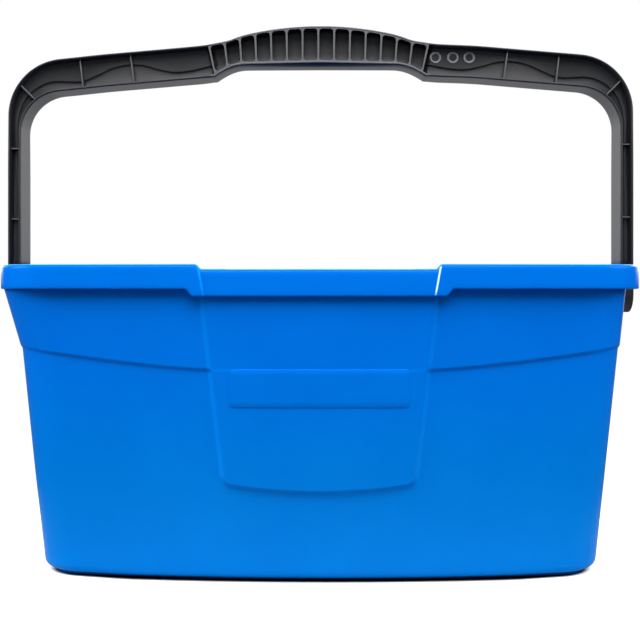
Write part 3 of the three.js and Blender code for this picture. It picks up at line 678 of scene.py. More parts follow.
def tub_point(row, column):
    level, out, x = row["level"](LEDGE_START), row["out"], BASE_HALF_LENGTH
    for attempt in range(SETTLE_TRIES):
        if row.get("foot"):
            out = row["out"] * lerp(FOOT_FADE_SHARE, 1.0, eased(abs(x), FOOT_FADE_START, FOOT_FADE_STOP))
        ring = wall_ring(row.get("ring_level", level), out, row.get("right"), row.get("left"))
        x, y, face = plan_place(column, level, ring)
        level = row["level"](x)
    if face and row.get("rim"):
        y -= face * RIM_RECESS * eased(recess_edge(level) - abs(x), -RECESS_SOFT, RECESS_SOFT)
    if face and row.get("panel"):
        y += face * (PANEL_PROUD - row["out"]) * panel_share(x, level)
    side = column[2][1] if column[0] == "long" else column[1]
    reach_x, bow = (ring["right"], END_BOW) if side > 0 else (ring["left"], 0.0)
    bowed_x = x + side * bow * (abs(x) / reach_x) * (1 - (y / ring["depth"]) ** 2)
    bowed_y = y * (1 + WALL_BOW / ring["depth"] * (1 - (x / reach_x) ** 2))
    return (bowed_x * MM, bowed_y * MM, level * MM)


tub_rings = [[tub_point(row, column) for column in columns] for row in tub_rows]
print("points", len(tub_rings) * len(columns))

# %% [markdown]
# Rings of points become a mesh by joining each ring to the next. If the first and the last ring are closed
# on one point each, the result is one watertight skin with thickness, as a moulding is. The same function
# makes the handle, the hubs, the pins and the pads. A second one puts a mesh in the scene and tells the
# frame which body it rides on and which material slot it has.


# %% Skins and pieces
def skin_mesh(name, rings, close_ends):
    """A mesh over rings of points that all have one length, with its ends fanned to a point or joined up."""
    count, points, faces = len(rings[0]), [point for ring in rings for point in ring], []
    for row in range(len(rings) - 1 if close_ends else len(rings)):
        low, high = row * count, ((row + 1) % len(rings)) * count
        for column in range(count):
            after = (column + 1) % count
            faces.append((low + column, low + after, high + after, high + column))
    ends = ((rings[0], 0, True), (rings[-1], (len(rings) - 1) * count, False)) if close_ends else ()
    for ring, start, first in ends:
        points.append(tuple(sum(axis) / count for axis in zip(*ring)))
        for column in range(count):
            pair = (start + column, start + (column + 1) % count)
            faces.append((*(pair[::-1] if first else pair), len(points) - 1))
    mesh = bpy.data.meshes.new(name)
    mesh.from_pydata(points, [], faces)
    shell = bmesh.new()
    shell.from_mesh(mesh)
    if shell.calc_volume(signed=True) < 0:
        mesh.flip_normals()
    shell.free()
    mesh.shade_smooth()
    return mesh


def add_piece(name, mesh, material, body):
    if not mesh.materials:
        mesh.materials.append(material)
    piece = bpy.data.objects.new(name, mesh)
    bpy.context.scene.collection.objects.link(piece)
    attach(piece, body)
    return piece


tub_mesh = skin_mesh("tub", tub_rings, True)
print("tub faces", len(tub_mesh.polygons))

# %% [markdown]
# Three places of the tub carry painted highlights, paler than the wall: a white line beside the rim's step,
# the round along the rim's top and the sloping sides of the panel, stronger on the left. They are an
# attribute of the mesh, so that the paint follows the shape.

# %% Painted highlights of the tub
STEP_FROM, STEP_TO = 218.4, 219.6
LEFT_STEP_FROM, LEFT_STEP_TO, LEFT_STEP_HIGHLIGHT = 214.0, 238.0, 0.4
LINE_HALF, LINE_FADED = 0.4, 0.9
ROUND_HIGHLIGHT, ROUND_FROM, ROUND_TO = 0.6, 0.9, 0.1
RIDGE_IN, RIDGE_HALF, RIDGE_LEFT, RIDGE_RIGHT = 1.0, 2.4, 0.13, 0.08


# How strong the painted highlight is at a point of the tub
def painted_highlight_share(row, x, y, z):
    if row.get("rim") and y < 0 and row["out"] > RIM_OVERHANG - 0.2 and z < rim_top(x) - RIM_EDGE / 2:
        strength = share(z, STEP_FROM, STEP_TO)
        if x <= 0:
            strength = LEFT_STEP_HIGHLIGHT * share(z, LEFT_STEP_FROM, LEFT_STEP_TO)
        return strength * (1 - share(abs(abs(x) - recess_edge(z)), LINE_HALF, LINE_FADED))
    if row.get("rim") and row["out"] > RIM_OVERHANG - RIM_EDGE:
        return ROUND_HIGHLIGHT * share(z, rim_top(x) - ROUND_FROM, rim_top(x) - ROUND_TO)
    if row.get("panel") and z > panel_foot(x) + PANEL_CORNER:
        from_ridge = abs(panel_edge(z) - abs(x) - RIDGE_IN) / RIDGE_HALF
        return (RIDGE_LEFT if x < 0 else RIDGE_RIGHT) * max(0.0, 1 - from_ridge ** 2)
    return 0.0


painted_highlight_values = []
for index, vertex in enumerate(tub_mesh.vertices):
    row = tub_rows[min(index // len(columns), len(tub_rows) - 1)]
    painted_highlight_values.append(painted_highlight_share(row, *(vertex.co / MM)))
tub_mesh.attributes.new("pale", "FLOAT", "POINT").data.foreach_set("value", painted_highlight_values)
tub = add_piece("tub", tub_mesh, tub_blue, "tub")
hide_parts("bucket_tub")
print("pale points", sum(value > 0 for value in painted_highlight_values))

# %% [markdown]
# The handle is one long I-section: an outer flange, an inner flange and a web between them, because ribs
# and a web carry a load with far less plastic than a solid bar. Its outline is a pair of lines, outer and
# inner, made of legs, corners, sloping arms and an arched grip. Each place on the outer line has a partner
# inside.

# %% Outline of the handle
PIVOT_LEVEL, HANDLE_TOP, HUB_TOP = 219.4, 444.2, 236.4
LEG_FOOT = HUB_TOP - 1.0
LEG_INNER, LEG_OUTER, HANDLE_HALF = 251.804, 262.604, 16.0
OUTER_CORNER, OUTER_CENTRE, INNER_CORNER, INNER_CENTRE = 48.0, 370.0, 34.4, 356.2
ARM_SLOPE, GRIP_ARCH, GRIP_TOP_END, GRIP_END = 0.084, 280.0, 95.0, 88.5
GRIP_UNDER, GRIP_LEVEL_HALF, ARCH_BLEND = 411.0, 63.0, 1.6
GRIP_DIP, DIP_PLACE, DIP_WIDTH = 1.3, 78, 9
LEG_STEPS, BEND_STEPS, ARM_STEPS, GRIP_STEPS = 10, 28, 80, 60
ARM_ANGLE = math.pi / 2 - math.atan(ARM_SLOPE)


def arm_line(x, reach_x, corner, centre):
    tangent_x = reach_x - corner + corner * math.cos(ARM_ANGLE)
    tangent_z = centre + corner * math.sin(ARM_ANGLE)
    return tangent_z + (tangent_x - abs(x)) * ARM_SLOPE


def arm_top(x):
    return arm_line(x, LEG_OUTER, OUTER_CORNER, OUTER_CENTRE)


def arm_under(x):
    return arm_line(x, LEG_INNER, INNER_CORNER, INNER_CENTRE)


def handle_top(x):
    arch = HANDLE_TOP - GRIP_ARCH + math.sqrt(max(GRIP_ARCH ** 2 - x * x, 0.0))
    arch -= GRIP_DIP * math.exp(-((abs(x) - DIP_PLACE) / DIP_WIDTH) ** 2)
    gap = arch - arm_top(x)
    return min(arm_top(x) + (gap + math.hypot(gap, ARCH_BLEND)) / 2, HANDLE_TOP)


def handle_under(x):
    part = share(GRIP_END - abs(x), 0.0, GRIP_END - GRIP_LEVEL_HALF)
    return lerp(arm_under(x), GRIP_UNDER, math.sin(math.pi / 2 * part)) if part > 0 else arm_under(x)


def right_half():
    places = []
    for part in [step / LEG_STEPS for step in range(LEG_STEPS)]:
        outer = (LEG_OUTER, lerp(LEG_FOOT, OUTER_CENTRE, part))
        places.append((outer, (LEG_INNER, lerp(LEG_FOOT, INNER_CENTRE, part))))
    for turn in [ARM_ANGLE * step / BEND_STEPS for step in range(BEND_STEPS + 1)]:
        gone, up = 1 - math.cos(turn), math.sin(turn)
        outer = (LEG_OUTER - OUTER_CORNER * gone, OUTER_CENTRE + OUTER_CORNER * up)
        places.append((outer, (LEG_INNER - INNER_CORNER * gone, INNER_CENTRE + INNER_CORNER * up)))
    bend_end, grip_end = (places[-1][0][0], places[-1][1][0]), (GRIP_TOP_END, GRIP_END)
    for start, end, steps in ((bend_end, grip_end, ARM_STEPS), (grip_end, (0.0, 0.0), GRIP_STEPS)):
        for part in [step / steps for step in range(1, steps + 1)]:
            outer_x, inner_x = lerp(start[0], end[0], part), lerp(start[1], end[1], part)
            places.append(((outer_x, handle_top(outer_x)), (inner_x, handle_under(inner_x))))
    return places


right_places = right_half()
left_places = [((-outer[0], outer[1]), (-inner[0], inner[1])) for outer, inner in right_places[-2::-1]]
handle_places = right_places + left_places
print("places along the handle", len(handle_places))

# %% [markdown]
# The handle in the photograph isn't quite level. Its right arm stands a little higher and its left corner a
# little lower, perhaps because it bent as it cooled. The lean is added to finished meshes, so that every
# other rule can stay the same for both sides.

# %% Lean of the handle
LEAN_RIGHT, LEAN_RIGHT_START, LEAN_RIGHT_STOP = 2.4, 70.0, 140.0
LEAN_LEFT, LEAN_LEFT_START, LEAN_LEFT_STOP = 0.8, 175.0, 225.0
LEAN_FOOT, LEAN_FULL = 236.0, 340.0


def lean(x, z):
    raised = LEAN_RIGHT * eased(x, LEAN_RIGHT_START, LEAN_RIGHT_STOP)
    raised -= LEAN_LEFT * eased(-x, LEAN_LEFT_START, LEAN_LEFT_STOP)
    return raised * share(z, LEAN_FOOT, LEAN_FULL)


def lean_mesh(mesh):
    for vertex in mesh.vertices:
        vertex.co.z += lean(vertex.co.x / MM, vertex.co.z / MM) * MM


print("lean", lean(200.0, 400.0), "and", lean(-230.0, 400.0))

# %% [markdown]
# The web isn't flat. Its upper half stands nearer the front and its lower half nearer the back, with a wavy
# step between them, which stiffens it and keeps the wall thin. The step's course is a table of shares of
# the frame's depth, read at several places along the arm and smoothed between them. Under the grip the
# inner flange is crowned, so that it sits in a hand.

# %% Web and crown of the handle
WEB_HALF, WEB_FRONT, WEB_BACK, ARM_HALF = 1.5, -4.9, -2.9, 14.4
DEEP_FOOT, DEEP_TOP, REBATE = 330.0, 400.0, 0.3
CROWN_FACET, CROWN_FACET_SHARE = 9.0, 0.14
GRIP_CROWN, GRIP_CROWN_FOOT, CROWN_FADE = 2.4, 0.2, 15
WAVE_SHARES = [(92, 0.42), (109, 0.34), (122, 0.34), (135, 0.46), (148, 0.63), (162, 0.69), (176, 0.62),
               (190, 0.44), (202, 0.32), (216, 0.36), (230, 0.44), (246, 0.50)]


def half_depth(z):
    return lerp(HANDLE_HALF, ARM_HALF, share(z, DEEP_FOOT, DEEP_TOP))


def wave_share(x):
    """A smooth curve through the table, whose slope at each place is that between its two neighbours."""
    x = min(max(abs(x), WAVE_SHARES[0][0]), WAVE_SHARES[-1][0])
    last = len(WAVE_SHARES) - 1
    index = max(step for step in range(last) if WAVE_SHARES[step][0] <= x)
    slopes = []
    for step in (index, index + 1):
        before, after = WAVE_SHARES[max(step - 1, 0)], WAVE_SHARES[min(step + 1, last)]
        slopes.append((after[1] - before[1]) / (after[0] - before[0]))
    (low, low_share), (high, high_share) = WAVE_SHARES[index], WAVE_SHARES[index + 1]
    part = (x - low) / (high - low)
    bend = part * (1 - part) * (high - low) * (slopes[0] * (1 - part) - slopes[1] * part)
    return lerp(low_share, high_share, eased(x, low, high)) + bend


def crown_at(x):
    foot = lerp(1.0, GRIP_CROWN_FOOT, share(abs(x), 0.0, GRIP_END))
    return GRIP_CROWN * foot * (1 - eased(abs(x), GRIP_END, GRIP_END + CROWN_FADE))


def crown_share(y):
    if y > CROWN_FACET:
        return lerp(CROWN_FACET_SHARE, 1.0, share(y, CROWN_FACET, ARM_HALF - REBATE))
    return CROWN_FACET_SHARE * (y / CROWN_FACET) ** 2


print("web step at", [round(wave_share(x), 2) for x in (100, 150, 200)], "crown", crown_at(0.0))

# %% [markdown]
# A section is a closed line round the I, worked out at every place along the handle. Its front and its back
# are alike except for where the web stands, so one rule gives both sides. Each point is named by the line
# it hangs on, outer, inner or the web between them, by its inset or share there, and by its place in depth.

# %% Section of the handle
FLANGE_EDGE, FLANGE_ROOT, FLANGE_CHAMFER, OUTER_ROUND, FILLET = 1.1, 2.3, 0.7, 0.3, 1.0
WEB_STEP_START, WEB_STEP_STOP, WALL_HALF, STEP_HALF = 84.0, 90.0, 0.8, 0.12
OUTER_DEPTHS, INNER_DEPTHS, FLAT_EDGE = (-8, 0, 8), (11.5, CROWN_FACET, 6, 3, 0), 3.6
# Where the grip's painted edge highlight lies in depth, and how it fades out along the arms
HIGHLIGHT_EDGE, HIGHLIGHT_FADE_OUT = 0.3, 6.0


def half_section(side, outer, inner):
    """The points from the outer line to the inner one, on the back (side 1) or the front (side -1)."""
    edge, crown, wave = half_depth(outer[1]), crown_at(inner[0]), wave_share(inner[0])
    depth = math.hypot(outer[0] - inner[0], outer[1] - inner[1])
    amount = eased(abs(inner[0]), WEB_STEP_START, WEB_STEP_STOP)
    upper, lower = WEB_FRONT * amount, WEB_BACK * amount
    upper_face, lower_face = upper + side * WEB_HALF, lower + side * WEB_HALF
    root, step_half = (FLANGE_ROOT + FILLET) / depth, STEP_HALF / depth
    step = wave + side * (WALL_HALF / depth)
    flange, chamfer = FLANGE_EDGE + OUTER_ROUND, crown + FLANGE_EDGE + FLANGE_CHAMFER
    points = [("outer", inset, side * (edge - back)) for inset, back in (
        (0.1, 0.9), (OUTER_ROUND, 0.2), (OUTER_ROUND + 0.3, 0.0), (flange, 0.0), (flange + 0.3, 0.4))]
    points += [("outer", FLANGE_ROOT, upper_face + side * FILLET),
               ("outer", FLANGE_ROOT + 0.3, upper_face + side * 0.3), ("web", 1 - root, upper_face)]
    points += [("web", step + 4 * step_half, upper_face), ("web", step + step_half, upper_face),
               ("web", step - step_half, lower_face), ("web", step - 4 * step_half, lower_face)]
    points += [("web", root + crown / depth, lower_face),
               ("inner", crown + FLANGE_ROOT + 0.3, lower_face + side * 0.3),
               ("inner", crown + FLANGE_ROOT, lower_face + side * FILLET)]
    return points + [("inner", chamfer, side * (edge - 0.4)), ("inner", chamfer - 0.3, side * edge),
                     ("inner", crown + 0.3, side * edge)]


def section_rows(outer, inner):
    edge, crown = half_depth(outer[1]), crown_at(inner[0])
    depths = [edge - REBATE, *INNER_DEPTHS]
    depths += [-y for y in depths[-2::-1]]
    rows = [("outer", 0.0, y) for y in (FLAT_EDGE - edge, *OUTER_DEPTHS, edge - FLAT_EDGE)]
    rows += half_section(1, outer, inner)
    rows += [("inner", crown * crown_share(abs(y)), y) for y in depths]
    return rows + half_section(-1, outer, inner)[::-1]


def normal_at(index, line):
    before = handle_places[max(index - 1, 0)][line]
    after = handle_places[min(index + 1, len(handle_places) - 1)][line]
    along = Vector((after[0] - before[0], after[1] - before[1])).normalized()
    turned = Vector((along.y, -along.x))
    return turned if line == 0 else -turned


def section_points(index):
    outer, inner = handle_places[index]
    lines = {"outer": (outer, normal_at(index, 0)), "inner": (inner, normal_at(index, 1))}
    points = []
    for line, value, y in section_rows(outer, inner):
        if line == "web":
            x, z = lerp(inner[0], outer[0], value), lerp(inner[1], outer[1], value)
        else:
            (x, z), normal = lines[line]
            x, z = x - normal[0] * value, z - normal[1] * value
        points.append((x * MM, y * MM, z * MM))
    return points


sections = [section_points(index) for index in range(len(handle_places))]
print("points a section", len(sections[0]))

# %% [markdown]
# The sections become one skin. The two edges of the grip carry a painted highlight, a paler grey, so an
# attribute marks them, and it fades out where the arms begin. A painted mask could do the same, but this one
# follows the section's rows.

# %% Frame of the handle
frame_mesh = skin_mesh("handle_frame", sections, True)
lean_mesh(frame_mesh)
edge_highlight_points = []
for outer, inner in handle_places:
    for line, value, y in section_rows(outer, inner):
        on_edge = abs(y) > half_depth(outer[1]) - HIGHLIGHT_EDGE
        x = outer[0] if line == "outer" else inner[0]
        edge_highlight_points.append(1.0 - eased(abs(x), GRIP_END, GRIP_END + HIGHLIGHT_FADE_OUT) if on_edge else 0.0)
edge_highlight_points += [0.0] * (len(frame_mesh.vertices) - len(edge_highlight_points))
frame_mesh.attributes.new("rubbed", "FLOAT", "POINT").data.foreach_set("value", edge_highlight_points)
handle_frame = add_piece("handle_frame", frame_mesh, handle_black, "handle")
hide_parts("carry_handle")
print("handle faces", len(frame_mesh.polygons))

# %% [markdown]
# The grip's two faces are cut into pockets that fan out from the hand, with thin ribs left between them. It
# could be drawn pocket by pocket, but one rule makes them all: a row of rectangles on a flat unit grid is
# bent between two rails, one under the arch and one above the underside. The rails come first, as a mesh of
# lines.

# %% Rails for the pockets
POCKETS, RIB_TOP_REACH, RIB_FOOT_REACH, RIB_CROWDING = 14, 92.0, 87.0, 0.035
RIB_THICK, POCKET_ROUND, PLATE_DEPTH, PLATE_BORDER = 1.5, 2.6, 28.5, 0.06
POCKET_TOP_INSET, POCKET_FOOT_INSET, GRIP_SHIFT = 2.0, 2.2, -1.4
RAIL_STEPS, BORDER_CUTS, POCKET_ROUND_POINTS = 80, 60, 5
RIB_SHARE = RIB_THICK * POCKETS / (2 * RIB_TOP_REACH)


def pocket_top(x):
    return handle_top(x) - POCKET_TOP_INSET


def pocket_foot(x):
    return handle_under(x) + crown_at(x) + POCKET_FOOT_INSET


def rail_points(reach_x, level):
    wide = reach_x * (1 + RIB_SHARE / POCKETS)
    places = [lerp(-wide, wide, step / RAIL_STEPS) for step in range(RAIL_STEPS + 1)]
    return [((x + GRIP_SHIFT) * MM, (level(x) + lean(x, level(x))) * MM, 0.0) for x in places]


rails = rail_points(RIB_TOP_REACH, pocket_top) + rail_points(RIB_FOOT_REACH, pocket_foot)
rail_mesh = bpy.data.meshes.new("grip_rails")
rail_lines = [(start + step, start + step + 1) for start in (0, RAIL_STEPS + 1) for step in range(RAIL_STEPS)]
rail_mesh.from_pydata(rails, rail_lines, [])
print("rail points", len(rail_mesh.vertices))

# %% [markdown]
# Geometry Nodes can repeat one opening, bend it, round its corners and fill the plate round it. A tree is
# made once with named inputs, and a modifier runs it over a start mesh. The result is then read out as a
# plain mesh and the modifier is thrown away, so that the scene holds nothing that is still being worked
# out.


# %% Helpers for Geometry Nodes
def new_tree(name, inputs):
    tree = bpy.data.node_groups.new(name, "GeometryNodeTree")
    for label, kind in inputs.items():
        tree.interface.new_socket(label, in_out="INPUT", socket_type="NodeSocket" + kind)
    tree.interface.new_socket("Result", in_out="OUTPUT", socket_type="NodeSocketGeometry")
    return tree, add_node(tree, "NodeGroupInput").outputs


def finish_tree(tree, shape, given):
    real = add_node(tree, "GeometryNodeRealizeInstances", None, {"Geometry": shape})
    named = add_node(tree, "GeometryNodeSetMaterial", None, {"Geometry": real, "Material": given["Material"]})
    add_node(tree, "NodeGroupOutput", None, {"Result": named})
    return tree


def grown(name, start_mesh, tree, values):
    """A plain mesh of what a tree of Geometry Nodes makes from a start mesh."""
    host = bpy.data.objects.new(name, start_mesh)
    bpy.context.scene.collection.objects.link(host)
    modifier = host.modifiers.new(name, "NODES")
    modifier.node_group = tree
    for item in tree.interface.items_tree:
        if item.in_out == "INPUT" and item.name in values:
            modifier[item.identifier] = values[item.name]
    bpy.context.view_layer.update()
    result = bpy.data.meshes.new_from_object(host.evaluated_get(bpy.context.evaluated_depsgraph_get()))
    result.name = name
    bpy.data.objects.remove(host)
    return result


print("node groups so far", len(bpy.data.node_groups))

# %% [markdown]
# The flat grid is one unit wide for each pocket and reaches from -1 on the foot rail to 1 on the top rail.
# The foot rail is the shorter one, which fans the ribs out, and their feet crowd a little towards its two
# ends. Between the rails a point is mixed by its height on the grid.


# %% Nodes that bend the grid
def bent_place(tree, given, rails):
    """Where a point of the flat unit grid lands between the two rails."""
    position = add_node(tree, "GeometryNodeInputPosition")
    grid = add_node(tree, "ShaderNodeSeparateXYZ", None, {0: position}).outputs
    half_rib = add_node(tree, "ShaderNodeMath", MULTIPLY, {0: given["Rib Share"], 1: 0.5})
    whole = add_node(tree, "ShaderNodeMath", ADD, {0: given["Pockets"], 1: given["Rib Share"]})
    half_row = add_node(tree, "ShaderNodeMath", DIVIDE, {0: given["Pockets"], 1: 2.0})
    even = add_node(tree, "ShaderNodeMath", DIVIDE, {0: grid[0], 1: half_row})
    even = add_node(tree, "ShaderNodeMath", SUBTRACT, {0: even, 1: 1.0})
    spare = add_node(tree, "ShaderNodeMath", MULTIPLY, {0: even, 1: even})
    spare = add_node(tree, "ShaderNodeMath", SUBTRACT, {0: 1.0, 1: spare})
    crowd = add_node(tree, "ShaderNodeMath", MULTIPLY_ADD, {0: given["Crowding"], 1: spare, 2: 1.0})
    crowd = add_node(tree, "ShaderNodeMath", MULTIPLY, {0: even, 1: crowd})
    crowded = add_node(tree, "ShaderNodeMath", MULTIPLY_ADD, {0: crowd, 1: half_row, 2: half_row})
    ends = []
    for rail, place in enumerate((grid[0], crowded)):
        along = add_node(tree, "ShaderNodeMath", ADD, {0: place, 1: half_rib})
        along = add_node(tree, "ShaderNodeMath", DIVIDE, {0: along, 1: whole})
        ends.append(add_node(tree, "GeometryNodeSampleCurve", {"mode": "FACTOR"}, {
            "Curves": rails, "Factor": along, "Curve Index": rail}).outputs["Position"])
    part = add_node(tree, "ShaderNodeMath", MULTIPLY_ADD, {0: grid[1], 1: 0.5, 2: 0.5})
    return add_node(tree, "ShaderNodeMix", {"data_type": "VECTOR", "clamp_factor": False}, {
        "Factor": part, 4: ends[1], 5: ends[0]})


print("ribs take", round(RIB_SHARE, 3), "of a pocket's place")

# %% [markdown]
# On the flat grid the openings are plain rectangles with a rib's width between them, and the plate is one
# larger rectangle round them all. Both are bent, the openings get round corners, and what lies between
# them is filled, pulled to its depth, closed at the back and stood upright on the handle's middle plane.


# %% Nodes for the pockets
def pocket_openings(tree, given, place):
    middles = add_node(tree, "GeometryNodeMeshLine", None, {
        "Count": given["Pockets"], "Start Location": (0.5, 0.0, 0.0), "Offset": (1.0, 0.0, 0.0)})
    width = add_node(tree, "ShaderNodeMath", SUBTRACT, {0: 1.0, 1: given["Rib Share"]})
    opening = add_node(tree, "GeometryNodeCurvePrimitiveQuadrilateral", None, {"Width": width, "Height": 2.0})
    row = add_node(tree, "GeometryNodeInstanceOnPoints", None, {"Points": middles, "Instance": opening})
    row = add_node(tree, "GeometryNodeRealizeInstances", None, {"Geometry": row})
    bent = add_node(tree, "GeometryNodeSetPosition", None, {"Geometry": row, "Position": place})
    return add_node(tree, "GeometryNodeFilletCurve", {"mode": "POLY"}, {
        "Curve": bent, "Count": POCKET_ROUND_POINTS, "Radius": given["Corner Radius"], "Limit Radius": True})


def plate_border(tree, given, place):
    wide = add_node(tree, "ShaderNodeMath", ADD, {0: given["Pockets"], 1: given["Rib Share"]})
    tall = add_node(tree, "ShaderNodeMath", MULTIPLY_ADD, {0: given["Border"], 1: 2.0, 2: 2.0})
    border = add_node(tree, "GeometryNodeCurvePrimitiveQuadrilateral", None, {"Width": wide, "Height": tall})
    middle = add_node(tree, "ShaderNodeMath", MULTIPLY, {0: given["Pockets"], 1: 0.5})
    middle = add_node(tree, "ShaderNodeCombineXYZ", None, {0: middle})
    border = add_node(tree, "GeometryNodeTransform", None, {"Geometry": border, "Translation": middle})
    border = add_node(tree, "GeometryNodeSubdivideCurve", None, {"Curve": border, "Cuts": BORDER_CUTS})
    return add_node(tree, "GeometryNodeSetPosition", None, {"Geometry": border, "Position": place})


def pocket_tree():
    tree, given = new_tree("fanned_pockets", {
        "Rails": "Geometry", "Pockets": "Int", "Rib Share": "Float", "Crowding": "Float",
        "Corner Radius": "Float", "Border": "Float", "Depth": "Float", "Material": "Material"})
    rails = add_node(tree, "GeometryNodeMeshToCurve", None, {"Mesh": given["Rails"]})
    place = bent_place(tree, given, rails)
    border, openings = plate_border(tree, given, place), pocket_openings(tree, given, place)
    lines = add_node(tree, "GeometryNodeJoinGeometry", None, {0: [border, openings]})
    face = add_node(tree, "GeometryNodeFillCurve", {"mode": "NGONS"}, {"Curve": lines})
    pulled = add_node(tree, "GeometryNodeExtrudeMesh", {"mode": "FACES"}, {
        "Mesh": face, "Offset Scale": given["Depth"], "Individual": False})
    back = add_node(tree, "GeometryNodeFlipFaces", None, {"Mesh": face})
    both = add_node(tree, "GeometryNodeJoinGeometry", None, {0: [pulled, back]})
    closed = add_node(tree, "GeometryNodeMergeByDistance", None, {"Geometry": both, "Distance": 1e-6})
    away = add_node(tree, "ShaderNodeMath", MULTIPLY, {0: given["Depth"], 1: 0.5})
    away = add_node(tree, "ShaderNodeCombineXYZ", None, {1: away})
    stood = add_node(tree, "GeometryNodeTransform", None, {
        "Geometry": closed, "Translation": away, "Rotation": (math.pi / 2, 0.0, 0.0)})
    return finish_tree(tree, stood, given)


plate_mesh = grown("grip_pockets", rail_mesh, pocket_tree(), {
    "Pockets": POCKETS, "Rib Share": RIB_SHARE, "Crowding": RIB_CROWDING, "Corner Radius": POCKET_ROUND * MM,
    "Border": PLATE_BORDER, "Depth": PLATE_DEPTH * MM, "Material": grip_black})
print("pocket plate faces", len(plate_mesh.polygons))

# %% [markdown]
# The plate's edges are still perfectly sharp. On the real handle the cutter's radius and years of use have
# taken that off, so a narrow bevel softens every edge. It is a modifier that finds the edges by their angle,
# so it needs no list of them.

# %% Grip plate with softened edges
SOFT_ANGLE = math.radians(40)


def soften(piece, width, segments):
    bevel = piece.modifiers.new("softened_edges", "BEVEL")
    bevel.width = width * MM
    bevel.segments = segments
    bevel.limit_method = "ANGLE"
    bevel.angle_limit = SOFT_ANGLE


grip_plate = add_piece("grip_pockets", plate_mesh, grip_black, "handle")
soften(grip_plate, 0.35, 2)
print("grip plate points", len(plate_mesh.vertices))

# %% [markdown]
# A few more ribs tie the flanges together: two in each arm, one across each corner and two in each leg.
# Each is a straight line from flange to flange, and the nodes sweep one flat section along every line.

# %% Ribs of the arms, corners and legs
ARM_RIBS = {-1: ((203.0, 200.1), (160.5, 156.8)), 1: ((201.4, 198.5), (158.2, 154.5))}
CORNER_RIB_OUTER, CORNER_RIB_INNER, LEG_RIBS = 0.38, 0.553, (0.817, 0.419)
RIB_SINK, RIB_TILT, FRAME_RIB_THICK, FRAME_RIB_DEPTH = 1.0, 0.01, 1.2, 22.5


def on_arc(centre_x, centre_z, radius, part):
    turn = math.pi / 2 * part
    return (centre_x + radius * math.cos(turn), centre_z + radius * math.sin(turn))


def rib_lines(side):
    lines = []
    for top, foot in ARM_RIBS[side]:
        lines.append(((top, arm_top(top) - RIB_SINK), (foot, arm_under(foot) + RIB_SINK)))
    outer = on_arc(LEG_OUTER - OUTER_CORNER, OUTER_CENTRE, OUTER_CORNER - RIB_SINK, CORNER_RIB_OUTER)
    inner = on_arc(LEG_INNER - INNER_CORNER, INNER_CENTRE, INNER_CORNER + RIB_SINK, CORNER_RIB_INNER)
    lines.append((outer, inner))
    for part in LEG_RIBS:
        level = lerp(PIVOT_LEVEL, OUTER_CENTRE, part)
        lines.append(((LEG_OUTER - RIB_SINK, level), (LEG_INNER + RIB_SINK, level + RIB_TILT)))
    return lines


def rib_tree():
    tree, given = new_tree("frame_ribs", {
        "Lines": "Geometry", "Thickness": "Float", "Depth": "Float", "Material": "Material"})
    lines = add_node(tree, "GeometryNodeMeshToCurve", None, {"Mesh": given["Lines"]})
    section = add_node(tree, "GeometryNodeCurvePrimitiveQuadrilateral", None, {
        "Width": given["Depth"], "Height": given["Thickness"]})
    upright = add_node(tree, "GeometryNodeSetCurveNormal", {"mode": "Z_UP"}, {"Curve": lines})
    ribs = add_node(tree, "GeometryNodeCurveToMesh", None, {
        "Curve": upright, "Profile Curve": section, "Fill Caps": True})
    return finish_tree(tree, ribs, given)


rib_points = []
for side in (-1, 1):
    for line in rib_lines(side):
        rib_points += [(side * x * MM, 0.0, z * MM) for x, z in line]
line_mesh = bpy.data.meshes.new("rib_lines")
line_mesh.from_pydata(rib_points, [(start, start + 1) for start in range(0, len(rib_points), 2)], [])
rib_mesh = grown("frame_ribs", line_mesh, rib_tree(), {
    "Thickness": FRAME_RIB_THICK * MM, "Depth": FRAME_RIB_DEPTH * MM, "Material": rib_black})
lean_mesh(rib_mesh)
frame_ribs = add_piece("frame_ribs", rib_mesh, rib_black, "handle")
soften(frame_ribs, 0.4, 3)
print("ribs", len(rib_points) // 2, "faces", len(rib_mesh.polygons))

# %% [markdown]
# The right arm carries three moulded discs in the photograph. Here they are plain rings standing on the
# web. Rings, bosses and pins are all turned shapes: a short outline carried round an axis. An outline is a
# list of a radius and a place along the axis.

# %% Turned shapes
TURN_STEPS = 48
RING_PLACES = [(97.5, 418.8), (112.3, 418.8), (126.2, 418.8)]
RING_OUTLINE = [(4.9, 1.0), (4.9, -0.5), (4.7, -0.8), (3.3, -0.8), (3.1, -0.5), (3.1, 1.0)]


def turned_mesh(name, outline, middle, axis, close_ends):
    """A skin of circles round an axis through a middle point."""
    across = (Vector(axis).orthogonal()).normalized()
    over = Vector(axis).cross(across)
    turns = [2 * math.pi * step / TURN_STEPS for step in range(TURN_STEPS)]
    spokes = [across * math.cos(turn) + over * math.sin(turn) for turn in turns]
    rings = []
    for radius, along in outline:
        centre = Vector(middle) + Vector(axis) * along
        rings.append([(centre + spoke * radius) * MM for spoke in spokes])
    return skin_mesh(name, rings, close_ends)


for index, (x, z) in enumerate(RING_PLACES):
    name = f"arm_ring_{index + 1}"
    ring_mesh = turned_mesh(name, RING_OUTLINE, (x, WEB_FRONT - WEB_HALF, z), (0.0, 1.0, 0.0), False)
    add_piece(name, ring_mesh, ring_grey, "handle")
print("plain rings", len(RING_PLACES))

# %% [markdown]
# Each leg ends in a solid hub with a bore for its pin and a seat that sinks the pin's head. The outline is
# a half disc with straight sides. Every point of it has a partner on the bore's circle, so that one skin
# can run from the bore over the faces and back.

